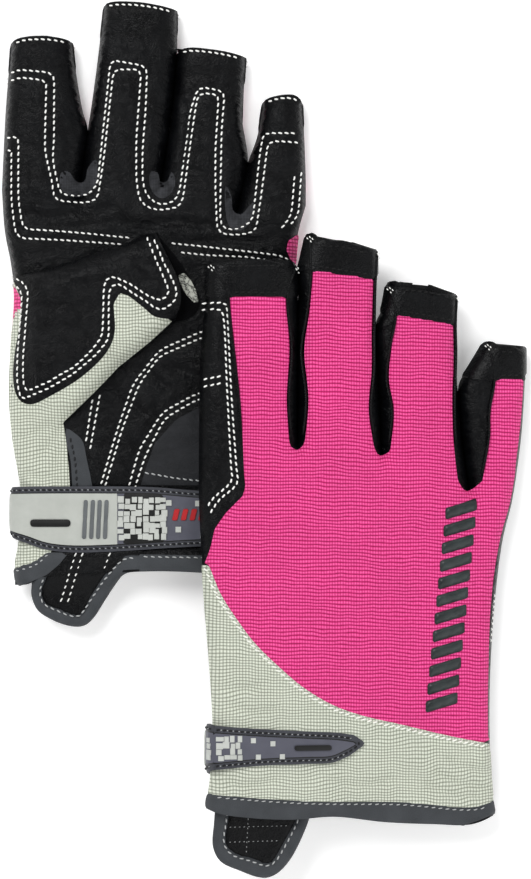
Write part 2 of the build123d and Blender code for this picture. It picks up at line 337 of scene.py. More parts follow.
class Nodes:
    """Short ways to add shader nodes to one material."""

    def __init__(self, name, **values):
        self.material = bpy.data.materials.new(name)
        self.material.use_nodes = True
        self.tree = self.material.node_tree
        self.shader = self.tree.nodes["Principled BSDF"]
        for key, value in values.items():
            self.shader.inputs[key.replace("_", " ").title().replace("Ior", "IOR")].default_value = value

    def add(self, kind, inputs=(), **options):
        node = self.tree.nodes.new("ShaderNode" + kind)
        for key, value in options.items():
            setattr(node, key, value)
        for key, value in dict(inputs).items():
            self.set(node.inputs[key], value)
        return node

    def set(self, socket, value):
        if isinstance(value, bpy.types.NodeSocket):
            self.tree.links.new(value, socket)
        else:
            socket.default_value = value

    def math(self, operation, a, b=0.0, c=0.0):
        return self.add("Math", {0: a, 1: b, 2: c}, operation=operation).outputs[0]

    def flat(self):
        """The sheet's own flat pattern, in millimetres, as x and y."""
        split = self.add("SeparateXYZ", {0: self.add("UVMap", uv_map="Flat").outputs[0]})
        return self.math("MULTIPLY", split.outputs[0], 100.0), self.math("MULTIPLY", split.outputs[1], 100.0)

    def vector(self, x, y, z=0.0):
        return self.add("CombineXYZ", {0: x, 1: y, 2: z}).outputs[0]

    def noise(self, vector, scale, detail=3.0, rough=0.55):
        node = self.add("TexNoise", {"Vector": vector, "Scale": scale, "Detail": detail, "Roughness": rough})
        return node.outputs["Fac"]

    def ramp(self, value, stops):
        node = self.add("ValToRGB", {0: value})
        elements = node.color_ramp.elements
        while len(elements) < len(stops):
            elements.new(0.5)
        for element, (position, colour) in zip(elements, stops):
            element.position = position
            element.color = colour
        return node.outputs[0]

    def mix(self, factor, a, b, blend="MIX"):
        node = self.add("Mix", data_type="RGBA", blend_type=blend)
        self.set(node.inputs[0], factor)
        self.set(node.inputs[6], a)
        self.set(node.inputs[7], b)
        return node.outputs[2]

    def bump(self, height, depth, strength=1.0, after=None):
        inputs = {"Height": height, "Distance": depth, "Strength": strength}
        if after is not None:
            inputs["Normal"] = after
        return self.add("Bump", inputs).outputs[0]

    def colour(self, value):
        self.set(self.shader.inputs["Base Color"], value)

    def rough(self, value):
        self.set(self.shader.inputs["Roughness"], value)

    def normal(self, value):
        self.set(self.shader.inputs["Normal"], value)


def rib(nodes, coordinate, pitch, phase=0.0):
    """A rounded rib across a coordinate: 1 on its crest and 0 in the groove."""
    turn = nodes.math("MULTIPLY_ADD", coordinate, math.pi / pitch, phase)
    return nodes.math("ABSOLUTE", nodes.math("SINE", turn))


def stretch_fabric():
    """Bright ribbed stretch fabric: strong rows, finer columns, and a little slub and fading."""
    n = Nodes("stretch_fabric", roughness=0.78, sheen_weight=0.1, sheen_roughness=0.5,
              specular_ior_level=0.25)
    x, y = n.flat()
    wander = n.noise(n.vector(x, y), 0.07, 2.0)
    y = n.math("ADD", n.math("MULTIPLY_ADD", wander, 2.6, y), n.math("MULTIPLY", x, 0.03))
    rows = rib(n, y, 1.17)
    columns = rib(n, x, 0.88)
    columns = n.math("MULTIPLY_ADD", n.math("POWER", columns, 0.7), 0.53, 0.47)
    weave = n.math("MULTIPLY", n.math("POWER", rows, 0.6), columns)
    uneven = n.noise(n.vector(x, y), 0.9, 2.0)
    weave = n.math("ADD", weave, n.math("MULTIPLY_ADD", uneven, 0.3, -0.15))
    colour = n.ramp(weave, [(0.12, rgb(126, 6, 60)), (0.4, rgb(184, 24, 96)), (0.68, rgb(218, 50, 127)),
                            (1.0, rgb(242, 96, 164))])
    patch = n.noise(n.vector(x, y), 0.05, 3.0)
    slub = n.noise(n.vector(n.math("MULTIPLY", x, 0.25), n.math("MULTIPLY", y, 3.0)), 0.6, 2.0)
    tint = n.math("ADD", n.math("MULTIPLY", patch, 0.22), n.math("MULTIPLY", slub, 0.22))
    tint = n.math("ADD", tint, 0.78)
    n.colour(n.mix(1.0, colour, n.vector(tint, tint, tint), "MULTIPLY"))
    n.rough(n.math("MULTIPLY_ADD", slub, 0.2, 0.6))
    n.normal(n.bump(weave, 0.00022, 0.8))
    return n.material


def cuff_fabric():
    """Pale woven fabric with a fine square grid of darker interstices."""
    n = Nodes("cuff_fabric", roughness=0.85, sheen_weight=0.1, sheen_roughness=0.5, specular_ior_level=0.25)
    x, y = n.flat()
    wander = n.noise(n.vector(x, y), 0.05, 2.0)
    y = n.math("MULTIPLY_ADD", wander, 6.0, y)
    rows = rib(n, y, 1.02)
    columns = rib(n, x, 1.0)
    weave = n.math("MULTIPLY", n.math("POWER", rows, 0.5), n.math("POWER", columns, 0.4))
    colour = n.ramp(weave, [(0.0, rgb(104, 110, 96)), (0.4, rgb(156, 161, 145)), (0.74, rgb(198, 202, 188)),
                            (1.0, rgb(222, 226, 212))])
    patch = n.noise(n.vector(x, y), 0.06, 3.0)
    tint = n.math("MULTIPLY_ADD", patch, 0.2, 0.9)
    n.colour(n.mix(1.0, colour, n.vector(tint, tint, tint), "MULTIPLY"))
    n.rough(n.math("MULTIPLY_ADD", weave, -0.15, 0.88))
    n.normal(n.bump(weave, 0.00022, 0.8))
    return n.material


def leather(name, dark=rgb(1, 1, 2), light=rgb(13, 14, 16), low=0.24, high=0.38, crease=1.6, shine=0.11):
    """Soft dyed leather: fine grain, pores and shallow creases, duller where it is rubbed; painted shade in
    the creases and painted highlight on their crests.
    """
    n = Nodes(name, specular_ior_level=shine)
    x, y = n.flat()
    flat = n.vector(x, y)
    grain = n.add("TexVoronoi", {"Vector": flat, "Scale": 2.6, "Randomness": 1.0}, feature="F1").outputs[0]
    pores = n.noise(flat, 5.5, 2.0)
    bent = n.math("MULTIPLY_ADD", n.noise(flat, 0.16, 2.0), 14.0, y)
    folds = n.noise(n.vector(n.math("MULTIPLY", x, 0.16), n.math("MULTIPLY", bent, 0.75)), 0.55, 4.0, 0.6)
    rubbed = n.noise(flat, 0.11, 3.0)
    # Colour: random rubbed tone, plus painted shade and highlight from the fold bumps, darker in their hollows
    # and lighter on their crests
    shade = n.math("ADD", n.math("MULTIPLY", rubbed, 0.75), n.math("MULTIPLY", folds, 0.4))
    n.colour(n.ramp(shade, [(0.32, dark), (0.8, light)]))
    n.rough(n.add("MapRange", {0: n.math("ADD", n.math("MULTIPLY", grain, 0.4),
                                         n.math("MULTIPLY", rubbed, 0.6)),
                               1: 0.2, 2: 0.8, 3: low, 4: high}).outputs[0])
    first = n.bump(folds, 0.0011 * crease, 0.55)
    second = n.bump(grain, 0.00016, 0.55, first)
    n.normal(n.bump(pores, 0.00007, 0.5, second))
    return n.material


def gusset_fabric():
    """Dark grey stretch fabric between the finger roots."""
    n = Nodes("gusset_fabric", roughness=0.85, sheen_weight=0.05, specular_ior_level=0.2)
    x, y = n.flat()
    weave = n.math("MULTIPLY", rib(n, x, 0.5), rib(n, y, 0.5))
    cloud = n.noise(n.vector(x, y), 0.35, 3.0)
    shade = n.math("ADD", n.math("MULTIPLY", weave, 0.3), n.math("MULTIPLY", cloud, 0.8))
    n.colour(n.ramp(shade, [(0.25, rgb(18, 19, 21)), (0.8, rgb(66, 67, 71))]))
    n.normal(n.bump(weave, 0.00015, 0.7))
    return n.material


def binding_tape(name="binding_tape", low=rgb(46, 49, 52), high=rgb(69, 72, 76)):
    """Slate grey synthetic binding: matt, faintly ribbed, with scuffs."""
    n = Nodes(name, roughness=0.62, specular_ior_level=0.25)
    x, y = n.flat()
    flat = n.vector(x, y)
    fine = n.noise(flat, 3.2, 3.0)
    cloud = n.noise(flat, 0.12, 2.0)
    ribs = rib(n, n.math("ADD", x, y), 0.45)
    shade = n.math("ADD", n.math("MULTIPLY", cloud, 0.5), n.math("MULTIPLY", fine, 0.5))
    n.colour(n.ramp(shade, [(0.3, low), (0.72, high)]))
    n.rough(n.math("MULTIPLY_ADD", fine, 0.25, 0.48))
    n.normal(n.bump(n.math("ADD", n.math("MULTIPLY", ribs, 0.4), fine), 0.00008, 0.7))
    return n.material


def moulded(name, low, high, rough=0.5):
    """Moulded rubber: even colour with a faint mottle and fine sparkle-free grain."""
    n = Nodes(name, roughness=rough, specular_ior_level=0.3)
    x, y = n.flat()
    flat = n.vector(x, y)
    cloud = n.noise(flat, 0.18, 3.0)
    fine = n.noise(flat, 6.0, 2.0)
    n.colour(n.ramp(n.math("ADD", n.math("MULTIPLY", cloud, 0.7), n.math("MULTIPLY", fine, 0.3)),
                    [(0.3, low), (0.7, high)]))
    n.rough(n.math("MULTIPLY_ADD", fine, 0.22, rough - 0.1))
    n.normal(n.bump(fine, 0.00005, 0.6))
    return n.material


def thread(name, low, high):
    """Twisted sewing thread."""
    n = Nodes(name, roughness=0.6, specular_ior_level=0.3)
    x, y = n.flat()
    twist = rib(n, n.math("MULTIPLY_ADD", y, 0.6, x), 0.34)
    n.colour(n.ramp(twist, [(0.0, low), (0.6, high)]))
    n.normal(n.bump(twist, 0.00006, 0.6))
    return n.material


def pile(name):
    """The pile of a hook-and-loop pad."""
    n = Nodes(name, roughness=0.95, sheen_weight=0.4)
    x, y = n.flat()
    hooks = n.math("MULTIPLY", rib(n, x, 0.9), rib(n, y, 0.9, 0.7))
    fuzz = n.noise(n.vector(x, y), 4.0, 4.0)
    n.colour(n.ramp(n.math("ADD", hooks, n.math("MULTIPLY", fuzz, 0.5)),
                    [(0.2, rgb(8, 8, 9)), (1.1, rgb(52, 52, 55))]))
    n.normal(n.bump(n.math("ADD", hooks, fuzz), 0.0004, 0.9))
    return n.material


def crumpled_label():
    """A small woven label, crumpled, with painted shade: dark lines along its folds."""
    n = Nodes("inner_label", roughness=0.8, specular_ior_level=0.2)
    x, y = n.flat()
    flat = n.vector(n.math("MULTIPLY_ADD", y, 0.5, x), y)
    folds = n.noise(flat, 0.55, 3.0, 0.6)
    # Painted shade: the colour is darkest along the folds of the noise that also bumps the label
    crease_shade = n.math("ABSOLUTE", n.math("SUBTRACT", folds, 0.5))
    fine = n.noise(flat, 3.0, 2.0)
    n.colour(n.ramp(n.math("MULTIPLY_ADD", fine, 0.03, crease_shade),
                    [(0.018, rgb(20, 20, 19)), (0.04, rgb(120, 122, 116)),
                                                               (0.12, rgb(196, 198, 188))]))
    n.normal(n.bump(folds, 0.0012, 0.9))
    return n.material


PINK = stretch_fabric()
PALE = cuff_fabric()
LEATHER = leather("palm_leather")
SMOOTH_LEATHER = leather("band_leather", rgb(2, 2, 3), rgb(11, 12, 14), 0.22, 0.34, 0.5, 0.13)
HEEL = leather("heel_leather", rgb(26, 27, 29), rgb(46, 47, 50), 0.5, 0.72, 0.8, 0.12)
LINING = leather("lining", rgb(2, 2, 3), rgb(9, 9, 11), 0.7, 0.9, 0.5, 0.06)
GUSSET = gusset_fabric()
BINDING = binding_tape()
STRAP = binding_tape("strap_body", rgb(50, 51, 57), rgb(72, 74, 80))
STRAP_PALE = moulded("strap_pale", rgb(168, 171, 165), rgb(181, 184, 178), 0.5)
STRAP_SLATE = moulded("strap_slate", rgb(76, 77, 88), rgb(86, 87, 98), 0.5)
STRAP_DARK = moulded("strap_dark", rgb(10, 11, 11), rgb(22, 23, 23), 0.4)
STRAP_GREY = moulded("strap_bar", rgb(82, 86, 88), rgb(104, 108, 110), 0.5)
STRAP_RED = moulded("strap_red", rgb(150, 20, 26), rgb(186, 34, 38), 0.45)
SQUARE = moulded("strap_square", rgb(176, 179, 174), rgb(194, 197, 192), 0.5)
PRINT = moulded("print_dark", rgb(26, 30, 31), rgb(54, 62, 62), 0.3)
WHITE_THREAD = thread("white_thread", rgb(214, 214, 208), rgb(255, 255, 252))
GREY_THREAD = thread("grey_thread", rgb(120, 122, 124), rgb(186, 188, 188))
DARK_THREAD = thread("dark_thread", rgb(6, 7, 8), rgb(26, 27, 30))
BLACK_THREAD = thread("black_thread", rgb(1, 1, 2), rgb(7, 7, 8))
PALE_THREAD = thread("pale_thread", rgb(216, 220, 206), rgb(250, 252, 244))
PILE = pile("hook_loop")
LABEL = crumpled_label()


# ---------------------------------------------------------------- the glove's own frame and surfaces

class Glove:
    """One glove's frame, outline and height fields."""

    def __init__(self, shape):
        self.shape = shape
        self.side = shape["side"]
        bend = joints[f"{self.side}_index_bend"]
        swing = joints[f"{self.side}_thumb_swing"]
        across, along = Vector(bend["axis"]), Vector(swing["axis"])
        self.ex = np.array(across if across.x > 0 else -across)
        self.ey = np.array(along if along.y > 0 else -along)
        up = np.cross(self.ex, self.ey)
        self.palm_up = self.side == "left"
        self.ez = -up if self.palm_up else up
        offset = (self.ex * THUMB_AXIS_X + self.ey * shape["thumb_mid"]) * 0.001
        self.origin = np.array(swing["pos_m"]) - offset
        self.folds = {f: self.local(joints[f"{self.side}_{f}_bend"]["pos_m"])[1] for f in FINGERS}
        self.radial = smooth(shape["radial"])
        self.ulnar = smooth(shape["ulnar"])
        self.left_edges = {f: smooth(p) for f, p in shape["left_edges"].items()}
        self.right_edges = {f: smooth(p) for f, p in shape["right_edges"].items()}
        self.closed = ([self.radial, self.ulnar] + list(self.left_edges.values())
                       + list(self.right_edges.values()))
        self.roots = {f: resample([self.left_edges[f][0], self.right_edges[f][0]], SPACING) for f in FINGERS}
        self.hand_line = np.vstack([self.roots["index"]] + [self.roots[f][1:] for f in FINGERS[1:]])
        self.grooves = {"palm": [], "back": []}
        self.creases = {"palm": [], "back": []}
        self.outline = self.full_outline()

    def local(self, point):
        """A point of the row, in metres, as this glove's millimetres."""
        d = (np.array(point) - self.origin) * 1000
        return np.array([d @ self.ex, d @ self.ey, d @ self.ez])

    def world(self, points):
        """This glove's millimetres as points of the row, in metres."""
        p = np.asarray(points, float)
        return self.origin + (p[:, :1] * self.ex + p[:, 1:2] * self.ey + p[:, 2:3] * self.ez) * 0.001

    def direction(self, vectors):
        v = np.asarray(vectors, float)
        return v[:, :1] * self.ex + v[:, 1:2] * self.ey + v[:, 2:3] * self.ez

    def tip(self, finger):
        start, end = self.left_edges[finger][-1], self.right_edges[finger][-1]
        return smooth([tuple(start)] + self.shape["tips"][finger] + [tuple(end)])

    def full_outline(self):
        parts = [self.radial]
        for f in FINGERS:
            parts += [self.left_edges[f], self.tip(f), self.right_edges[f][::-1]]
        parts += [self.ulnar[::-1], smooth(self.shape["wrist"])[::-1]]
        return np.vstack(parts)

    def finger_outline(self, finger):
        return np.vstack([self.left_edges[finger][:-1], self.tip(finger)[:-1],
                          self.right_edges[finger][::-1][:-1], self.roots[finger][::-1][:-1]])

    def hand_outline(self):
        wrist = smooth(self.shape["wrist"])[::-1]
        return np.vstack([self.radial[:-1], self.hand_line[:-1], self.ulnar[::-1][:-1], wrist[:-1]])

    def owners(self, points):
        """The part of the glove at each flat point: the hand or a finger stall."""
        regions = {"hand": self.hand_outline()} | {f: self.finger_outline(f) for f in FINGERS}
        away = [np.where(inside(points, ring), 0.0, distance(points, [np.vstack([ring, ring[:1]])])[0])
                for ring in regions.values()]
        return np.array(list(regions), dtype=object)[np.argmin(away, axis=0)]

    def hold_inside(self, points):
        """Points outside the glove moved to its edge."""
        pts = np.array(points, float)
        out = ~inside(pts, self.outline)
        if out.any():
            d, near = distance(pts[out], self.closed)
            pts[out] = np.where((d < 12.0)[:, None], near, pts[out])
        return pts

    def height(self, face, points):
        """The outer surface of the back or the palm over flat points."""
        pts = np.asarray(points, float)
        d = distance(pts, self.closed)[0]
        round_off = quarter_round(d, EDGE_ROUND)
        dome = 1 - (1 - np.clip(d / DOME_REACH, 0, 1)) ** 2
        crown = self.shape[f"{face}_crown"] * dome
        sign = 1.0 if face == "back" else -1.0
        held = self.pressed(face, pts)
        half = HALF - (LEFT_BACK_LOW if self.palm_up and face == "back" else 0.0)
        rise = (half + crown * held) * round_off + self.relief(face, pts, d) * held
        if self.grooves[face]:
            near = distance(pts, self.grooves[face])[0]
            rise -= 0.32 * np.exp(-(near / 1.1) ** 2) * np.clip(d / 3.0, 0, 1)
        if self.creases[face]:
            near = distance(pts, self.creases[face])[0]
            swell = 0.3 * np.exp(-((near - 2.2) / 1.2) ** 2)
            rise += (swell - 0.75 * np.exp(-(near / 1.0) ** 2)) * np.clip(d / 4.0, 0, 1)
        return MID + sign * rise

    def pressed(self, face, pts):
        """The share of the crown and folds that is left where the strap holds the wrist in."""
        if face == "back":
            return np.ones(len(pts))
        depth = np.minimum(pts[:, 1] - 5.0, 32.0 - pts[:, 1])
        return 1 - 0.85 * np.clip(depth / 4.0, 0, 1)

    def relief(self, face, pts, d):
        """Soft folds and creases."""
        quiet = 0.25 if self.palm_up and face == "back" else 1.0
        out = np.empty(len(pts))
        leather_side = face == "palm"
        for i, (x, y) in enumerate(pts):
            broad = noise.noise(Vector((x * 0.035, y * 0.035, 3.1 if leather_side else 7.7)))
            if leather_side:
                fold = noise.noise(Vector((x * 0.06 + 9, y * 0.24, 1.3)))
                fine = noise.noise(Vector((x * 0.22, y * 0.42, 5.1)))
                gathered = math.exp(-((y - 112) / 16) ** 2)
                out[i] = 0.45 * broad + (0.32 + 0.3 * gathered) * fold + (0.14 + 0.3 * gathered) * fine
            else:
                wrist = math.exp(-((y - 20) / 26) ** 2)
                fold = noise.noise(Vector((x * 0.05, y * 0.13, 2.2)))
                out[i] = 0.5 * broad + (0.25 + 0.75 * wrist) * 0.6 * fold
        return out * np.clip(d / 6.0, 0, 1) * quiet

    def mesh(self, name, verts, faces, flats, material, sharp=(), normals=None, outer_count=0):
        """A mesh object from this glove's millimetres. The left glove is mirrored, so its faces are turned."""
        if self.palm_up:
            faces = [tuple(reversed(f)) for f in faces]
        if normals is not None:
            normals = self.direction(np.vstack([normals, -normals]))
        return make_mesh(f"{self.side}_{name}", self.world(verts), faces, flats, sharp, normals,
                         outer_count, [material])

    def join(self, obj, body, slot, nodes=(), ends=None):
        """Rides a piece on a body or, given two ends, bakes it in place; and hides the parts that it stands
        for.
        """
        if ends is None:
            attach(obj, f"{self.side}_{body}")
        else:
            start, end = self.world(ends)
            tuple(start)
            tuple(end)
            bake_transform(obj)
        if nodes:
            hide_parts(*[f"{self.side}_{n}" for n in nodes])

    def join_part(self, obj, part, slot, nodes=()):
        """Joins a piece of the hand, or one of a finger stall, which is given two ends beyond its fold line
        and baked in place.
        """
        if part not in FINGERS:
            self.join(obj, part, slot, nodes)
            return
        x = self.local(joints[f"{self.side}_{part}_bend"]["pos_m"])[0]
        fold = self.folds[part]
        self.join(obj, part, slot, nodes, [(x, fold + BLEND_START, MID), (x, fold + BLEND_END, MID)])


def shell(glove):
    """The leather body of the glove: back and palm faces of the hand and of each finger stall."""
    regions = {"hand": glove.hand_outline()} | {f: glove.finger_outline(f) for f in FINGERS}
    parts, offset, all_verts, all_tris = {}, 0, [], []
    for name, outline in regions.items():
        flat, tris = triangulate(outline)
        edge = distance(flat, glove.closed)[0] < 1e-3
        top = glove.height("back", flat)
        low = glove.height("palm", flat)
        top[edge] = low[edge] = MID
        count = len(flat)
        lower = np.where(edge, np.arange(count), np.arange(count) + count)
        verts = np.vstack([np.column_stack([flat, top]), np.column_stack([flat, low])])
        faces = np.vstack([tris, lower[tris[:, ::-1]]])
        parts[name] = (verts, faces, offset)
        all_verts.append(verts)
        all_tris.append(faces + offset)
        offset += len(verts)
    normals = vertex_normals(np.vstack(all_verts), np.vstack(all_tris))
    for name, (verts, faces, start) in parts.items():
        own = normals[start:start + len(verts)]
        solid, polygons, sharp, outer_count = thicken(verts, faces, own, 0.0, LEATHER_THICK)
        label = "hand_shell" if name == "hand" else f"{name}_stall"
        flat = np.vstack([verts[:, :2], verts[:, :2] + LINING_SHIFT])
        obj = glove.mesh(label, solid, polygons, flat, LEATHER, sharp, own, outer_count)
        nodes = ["palm_panel", "radial_sidewall", "ulnar_sidewall"] if name == "hand" else [f"{name}_shell"]
        glove.join_part(obj, name, "palm_leather", nodes)


def split_panel(glove, name, face, outline, lift, material, slot, nodes=(), sink=0.25, roll=0.7,
                edge_share=0.7):
    """A sheet sewn on the back or the palm. Where it crosses the finger roots it is cut there."""
    outline = glove.hold_inside(outline)
    cuts = [glove.roots[f] for f in FINGERS]
    crossing = any(inside(cut[1:-1], outline).any() for cut in cuts)
    flat, tris = cut_sheet(outline, SPACING, cuts if crossing else ())
    ordered = tris if face == "back" else tris[:, ::-1]
    verts = np.column_stack([flat, glove.height(face, flat)])
    normals = vertex_normals(verts, ordered)
    free = looped(outline)
    near_edge = distance(free, glove.closed)[0] < 0.05
    lines = [free[i:i + 2] for i in range(len(free) - 1) if not (near_edge[i] and near_edge[i + 1])]
    rolled = np.ones(len(flat))
    if lines:
        d = distance(flat, lines)[0]
        rolled = quarter_round(d, roll) * 0.75 + 0.25
    rolled = rolled * (edge_share + (1 - edge_share) * np.clip(distance(flat, glove.closed)[0] / 2.2, 0, 1))
    owner = glove.owners(flat[tris].mean(1))
    for part in ("hand",) + FINGERS:
        chosen = ordered[owner == part]
        if len(chosen) < 3:
            continue
        used, local_tris = np.unique(chosen, return_inverse=True)
        local_tris = local_tris.reshape(-1, 3)
        solid, faces, sharp, count = thicken(verts[used], local_tris, normals[used], (lift * rolled)[used],
                                             sink)
        label = name if part == "hand" else f"{part}_{name}"
        obj = glove.mesh(label, solid, faces, np.vstack([flat[used]] * 2), material, sharp, normals[used],
                         count)
        stands = nodes.get(part, ()) if isinstance(nodes, dict) else (nodes if part == "hand" else ())
        glove.join_part(obj, part, slot, stands)


# ---------------------------------------------------------------- sewing

def stitch_row(path, pitch=2.05, length=1.5, start=0.3):
    """Places and directions of the stitches along a flat line."""
    pts = np.asarray(path, float)
    run = np.concatenate([[0], np.cumsum(np.linalg.norm(np.diff(pts, axis=0), axis=1))])
    out = []
    at = start + length / 2
    while at + length / 2 < run[-1]:
        ends = [np.array([np.interp(s, run, pts[:, 0]), np.interp(s, run, pts[:, 1])])
                for s in (at - length / 2, at + length / 2)]
        out.append((ends[0], ends[1]))
        at += pitch
    return out


def stitch_meshes(stitches, surface, width=0.54, rise=0.27, lift=0.3, slant=0.2):
    """Small rounded threads between pairs of flat points, on a surface and turned a little from the row."""
    verts, faces, flats = [], [], []
    if not stitches:
        return np.zeros((0, 3)), [], np.zeros((0, 2))
    ends = np.array([(a, b) for a, b in stitches])
    mid = ends.mean(1)
    points, normals = surface(mid)
    along2 = ends[:, 1] - ends[:, 0]
    size = np.linalg.norm(along2, axis=1)
    a3 = surface(ends[:, 0])[0]
    b3 = surface(ends[:, 1])[0]
    along = b3 - a3
    along /= np.maximum(np.linalg.norm(along, axis=1)[:, None], 1e-9)
    across = np.cross(normals, along)
    across /= np.maximum(np.linalg.norm(across, axis=1)[:, None], 1e-9)
    along, across = along + across * slant, across - along * slant
    ring = 6
    for i in range(len(stitches)):
        base = len(verts)
        length = size[i]
        for share, scale in ((-0.5, 0.45), (-0.34, 0.95), (0.0, 1.1), (0.34, 0.95), (0.5, 0.45)):
            dip = -0.28 if abs(share) == 0.5 else (0.0 if share else 0.06)
            for k in range(ring):
                turn = 2 * math.pi * k / ring
                verts.append(points[i] + along[i] * share * length
                             + across[i] * math.cos(turn) * width / 2 * scale
                             + normals[i] * (lift + dip + math.sin(turn) * rise * scale))
                flats.append(mid[i] + (share * length, k * 0.15))
        for s in range(4):
            for k in range(ring):
                a, b = base + s * ring + k, base + s * ring + (k + 1) % ring
                faces.append((a, b, b + ring, a + ring))
        faces.append(tuple(base + k for k in range(ring))[::-1])
        faces.append(tuple(base + 4 * ring + k for k in range(ring)))
    return np.array(verts), faces, np.array(flats)


def sew(glove, name, surface, rows, material, width=0.54, rise=0.27, lift=0.3, pitch=2.05, length=1.5,
        slant=0.2):
    """Rows of stitches, cut at the finger roots into one piece for each part."""
    stitches = [s for row in rows for s in stitch_row(row, pitch, length)]
    if not stitches:
        return
    owner = glove.owners(np.array([(a + b) / 2 for a, b in stitches]))
    for part in dict.fromkeys(owner):
        chosen = [s for s, o in zip(stitches, owner) if o == part]
        verts, faces, flats = stitch_meshes(chosen, surface, width, rise, lift, slant)
        label = name if part == "hand" else f"{part}_{name}"
        glove.join_part(glove.mesh(label, verts, faces, flats, material), part, "palm_leather")


def piping(glove, name, surface, path, material, finger, rise=0.5):
    """A rounded seam ridge along a line of a finger stall."""
    width = 0.9
    pts = resample([tuple(p) for p in path], 0.9)
    points, normals = surface(pts)
    along = np.gradient(points, axis=0)
    across = np.cross(normals, along)
    across /= np.maximum(np.linalg.norm(across, axis=1)[:, None], 1e-9)
    ring, count = 8, len(pts)
    taper = np.clip(np.minimum(np.arange(count), np.arange(count)[::-1]) / 2.0, 0.35, 1.0)
    turns = 2 * math.pi * np.arange(ring) / ring
    verts = np.concatenate([points[i] + np.outer(np.cos(turns), across[i]) * width / 2 * taper[i]
                            + np.outer(np.sin(turns), normals[i]) * rise * taper[i] for i in range(count)])
    flats = np.concatenate([np.column_stack([np.full(ring, pts[i][0]) + turns * 0.15,
                                             np.full(ring, pts[i][1])])
                            for i in range(count)])
    faces = [(s * ring + k, s * ring + (k + 1) % ring, (s + 1) * ring + (k + 1) % ring, (s + 1) * ring + k)
             for s in range(count - 1) for k in range(ring)]
    faces += [tuple(range(ring))[::-1], tuple((count - 1) * ring + k for k in range(ring))]
    glove.join_part(glove.mesh(name, verts, faces, flats, material), finger, "palm_leather")


def surface_over(height, sign, extra=0.0):
    """Points and outward normals over flat points of a height field that faces up (1) or down (-1)."""
    step = 0.4

    def at(points):
        pts = np.asarray(points, float)
        dx, dy = ((height(pts + move) - height(pts - move)) / (2 * step) for move in ((step, 0), (0, step)))
        normal = np.stack([-dx, -dy, np.ones(len(pts))], 1) * sign
        normal /= np.linalg.norm(normal, axis=1)[:, None]
        return np.column_stack([pts, height(pts)]) + normal * extra, normal

    return at


def face_surface(glove, face, extra=0.0):
    """One face of the glove."""
    return surface_over(lambda pts: glove.height(face, pts), 1.0 if face == "back" else -1.0, extra)


# ---------------------------------------------------------------- drawing one glove's lines on the other

class Layout:
    """Places on a glove by share: across its four fingers (0 to 4) and from the wrist (0) by the finger
    roots (1) to the openings (2). A line drawn on one glove is carried to the other by its shares."""

    def __init__(self, glove):
        self.lines = []
        ends = [glove.radial[0]]
        for before in FINGERS[:-1]:
            crotch = glove.right_edges[before][0]
            span = glove.ulnar[-1][0] - glove.radial[-1][0]
            share = (crotch[0] - glove.radial[-1][0]) / span
            ends.append(glove.radial[0] + (glove.ulnar[0] - glove.radial[0]) * share)
        for i, f in enumerate(FINGERS):
            left_hand = glove.radial if i == 0 else np.array([ends[i], glove.left_edges[f][0]])
            right_hand = glove.ulnar if i == 3 else np.array([ends[i + 1], glove.right_edges[f][0]])
            self.lines.append(((left_hand, glove.left_edges[f]), (right_hand, glove.right_edges[f])))
        self.grid = [(s, v) for s in np.linspace(-0.2, 4.2, 89) for v in np.linspace(-0.15, 2.1, 91)]
        self.spots = np.array([self.place(s, v) for s, v in self.grid])

    @staticmethod
    def along(line, t):
        """A point on a line by share of its length; shares outside 0 to 1 carry straight on."""
        run = np.concatenate([[0], np.cumsum(np.linalg.norm(np.diff(line, axis=0), axis=1))])
        at = t * run[-1]
        point = np.array([np.interp(at, run, line[:, 0]), np.interp(at, run, line[:, 1])])
        if t < 0:
            point = point + (line[0] - line[1]) / max(run[1], 1e-9) * -at
        if t > 1:
            step = line[-1] - line[-2]
            point = point + step / max(np.linalg.norm(step), 1e-9) * (at - run[-1])
        return point

    def place(self, s, v):
        cell = min(max(int(math.floor(s)), 0), 3)
        (left_hand, left_finger), (right_hand, right_finger) = self.lines[cell]
        if v <= 1:
            a, b = self.along(left_hand, v), self.along(right_hand, v)
        else:
            a, b = self.along(left_finger, v - 1), self.along(right_finger, v - 1)
        return a + (b - a) * (s - cell)

    def share(self, point):
        """The shares of a point."""
        point = np.asarray(point, float)
        s, v = self.grid[int(np.linalg.norm(self.spots - point, axis=1).argmin())]
        for _ in range(6):
            here = self.place(s, v)
            e = 0.004
            jac = np.stack([(self.place(s + e, v) - here) / e, (self.place(s, v + e) - here) / e], 1)
            if abs(np.linalg.det(jac)) < 1e-6:
                break
            ds, dv = np.linalg.solve(jac, point - here)
            s, v = s + min(max(ds, -0.2), 0.2), v + min(max(dv, -0.05), 0.05)
        return s, v


def carry(line, source, target):
    """A line drawn on one glove, as it lies on the other."""
    if source is target:
        return [tuple(p) for p in line]
    return [tuple(target.layout.place(*source.layout.share(p))) for p in line]


# ---------------------------------------------------------------- the thumb stall

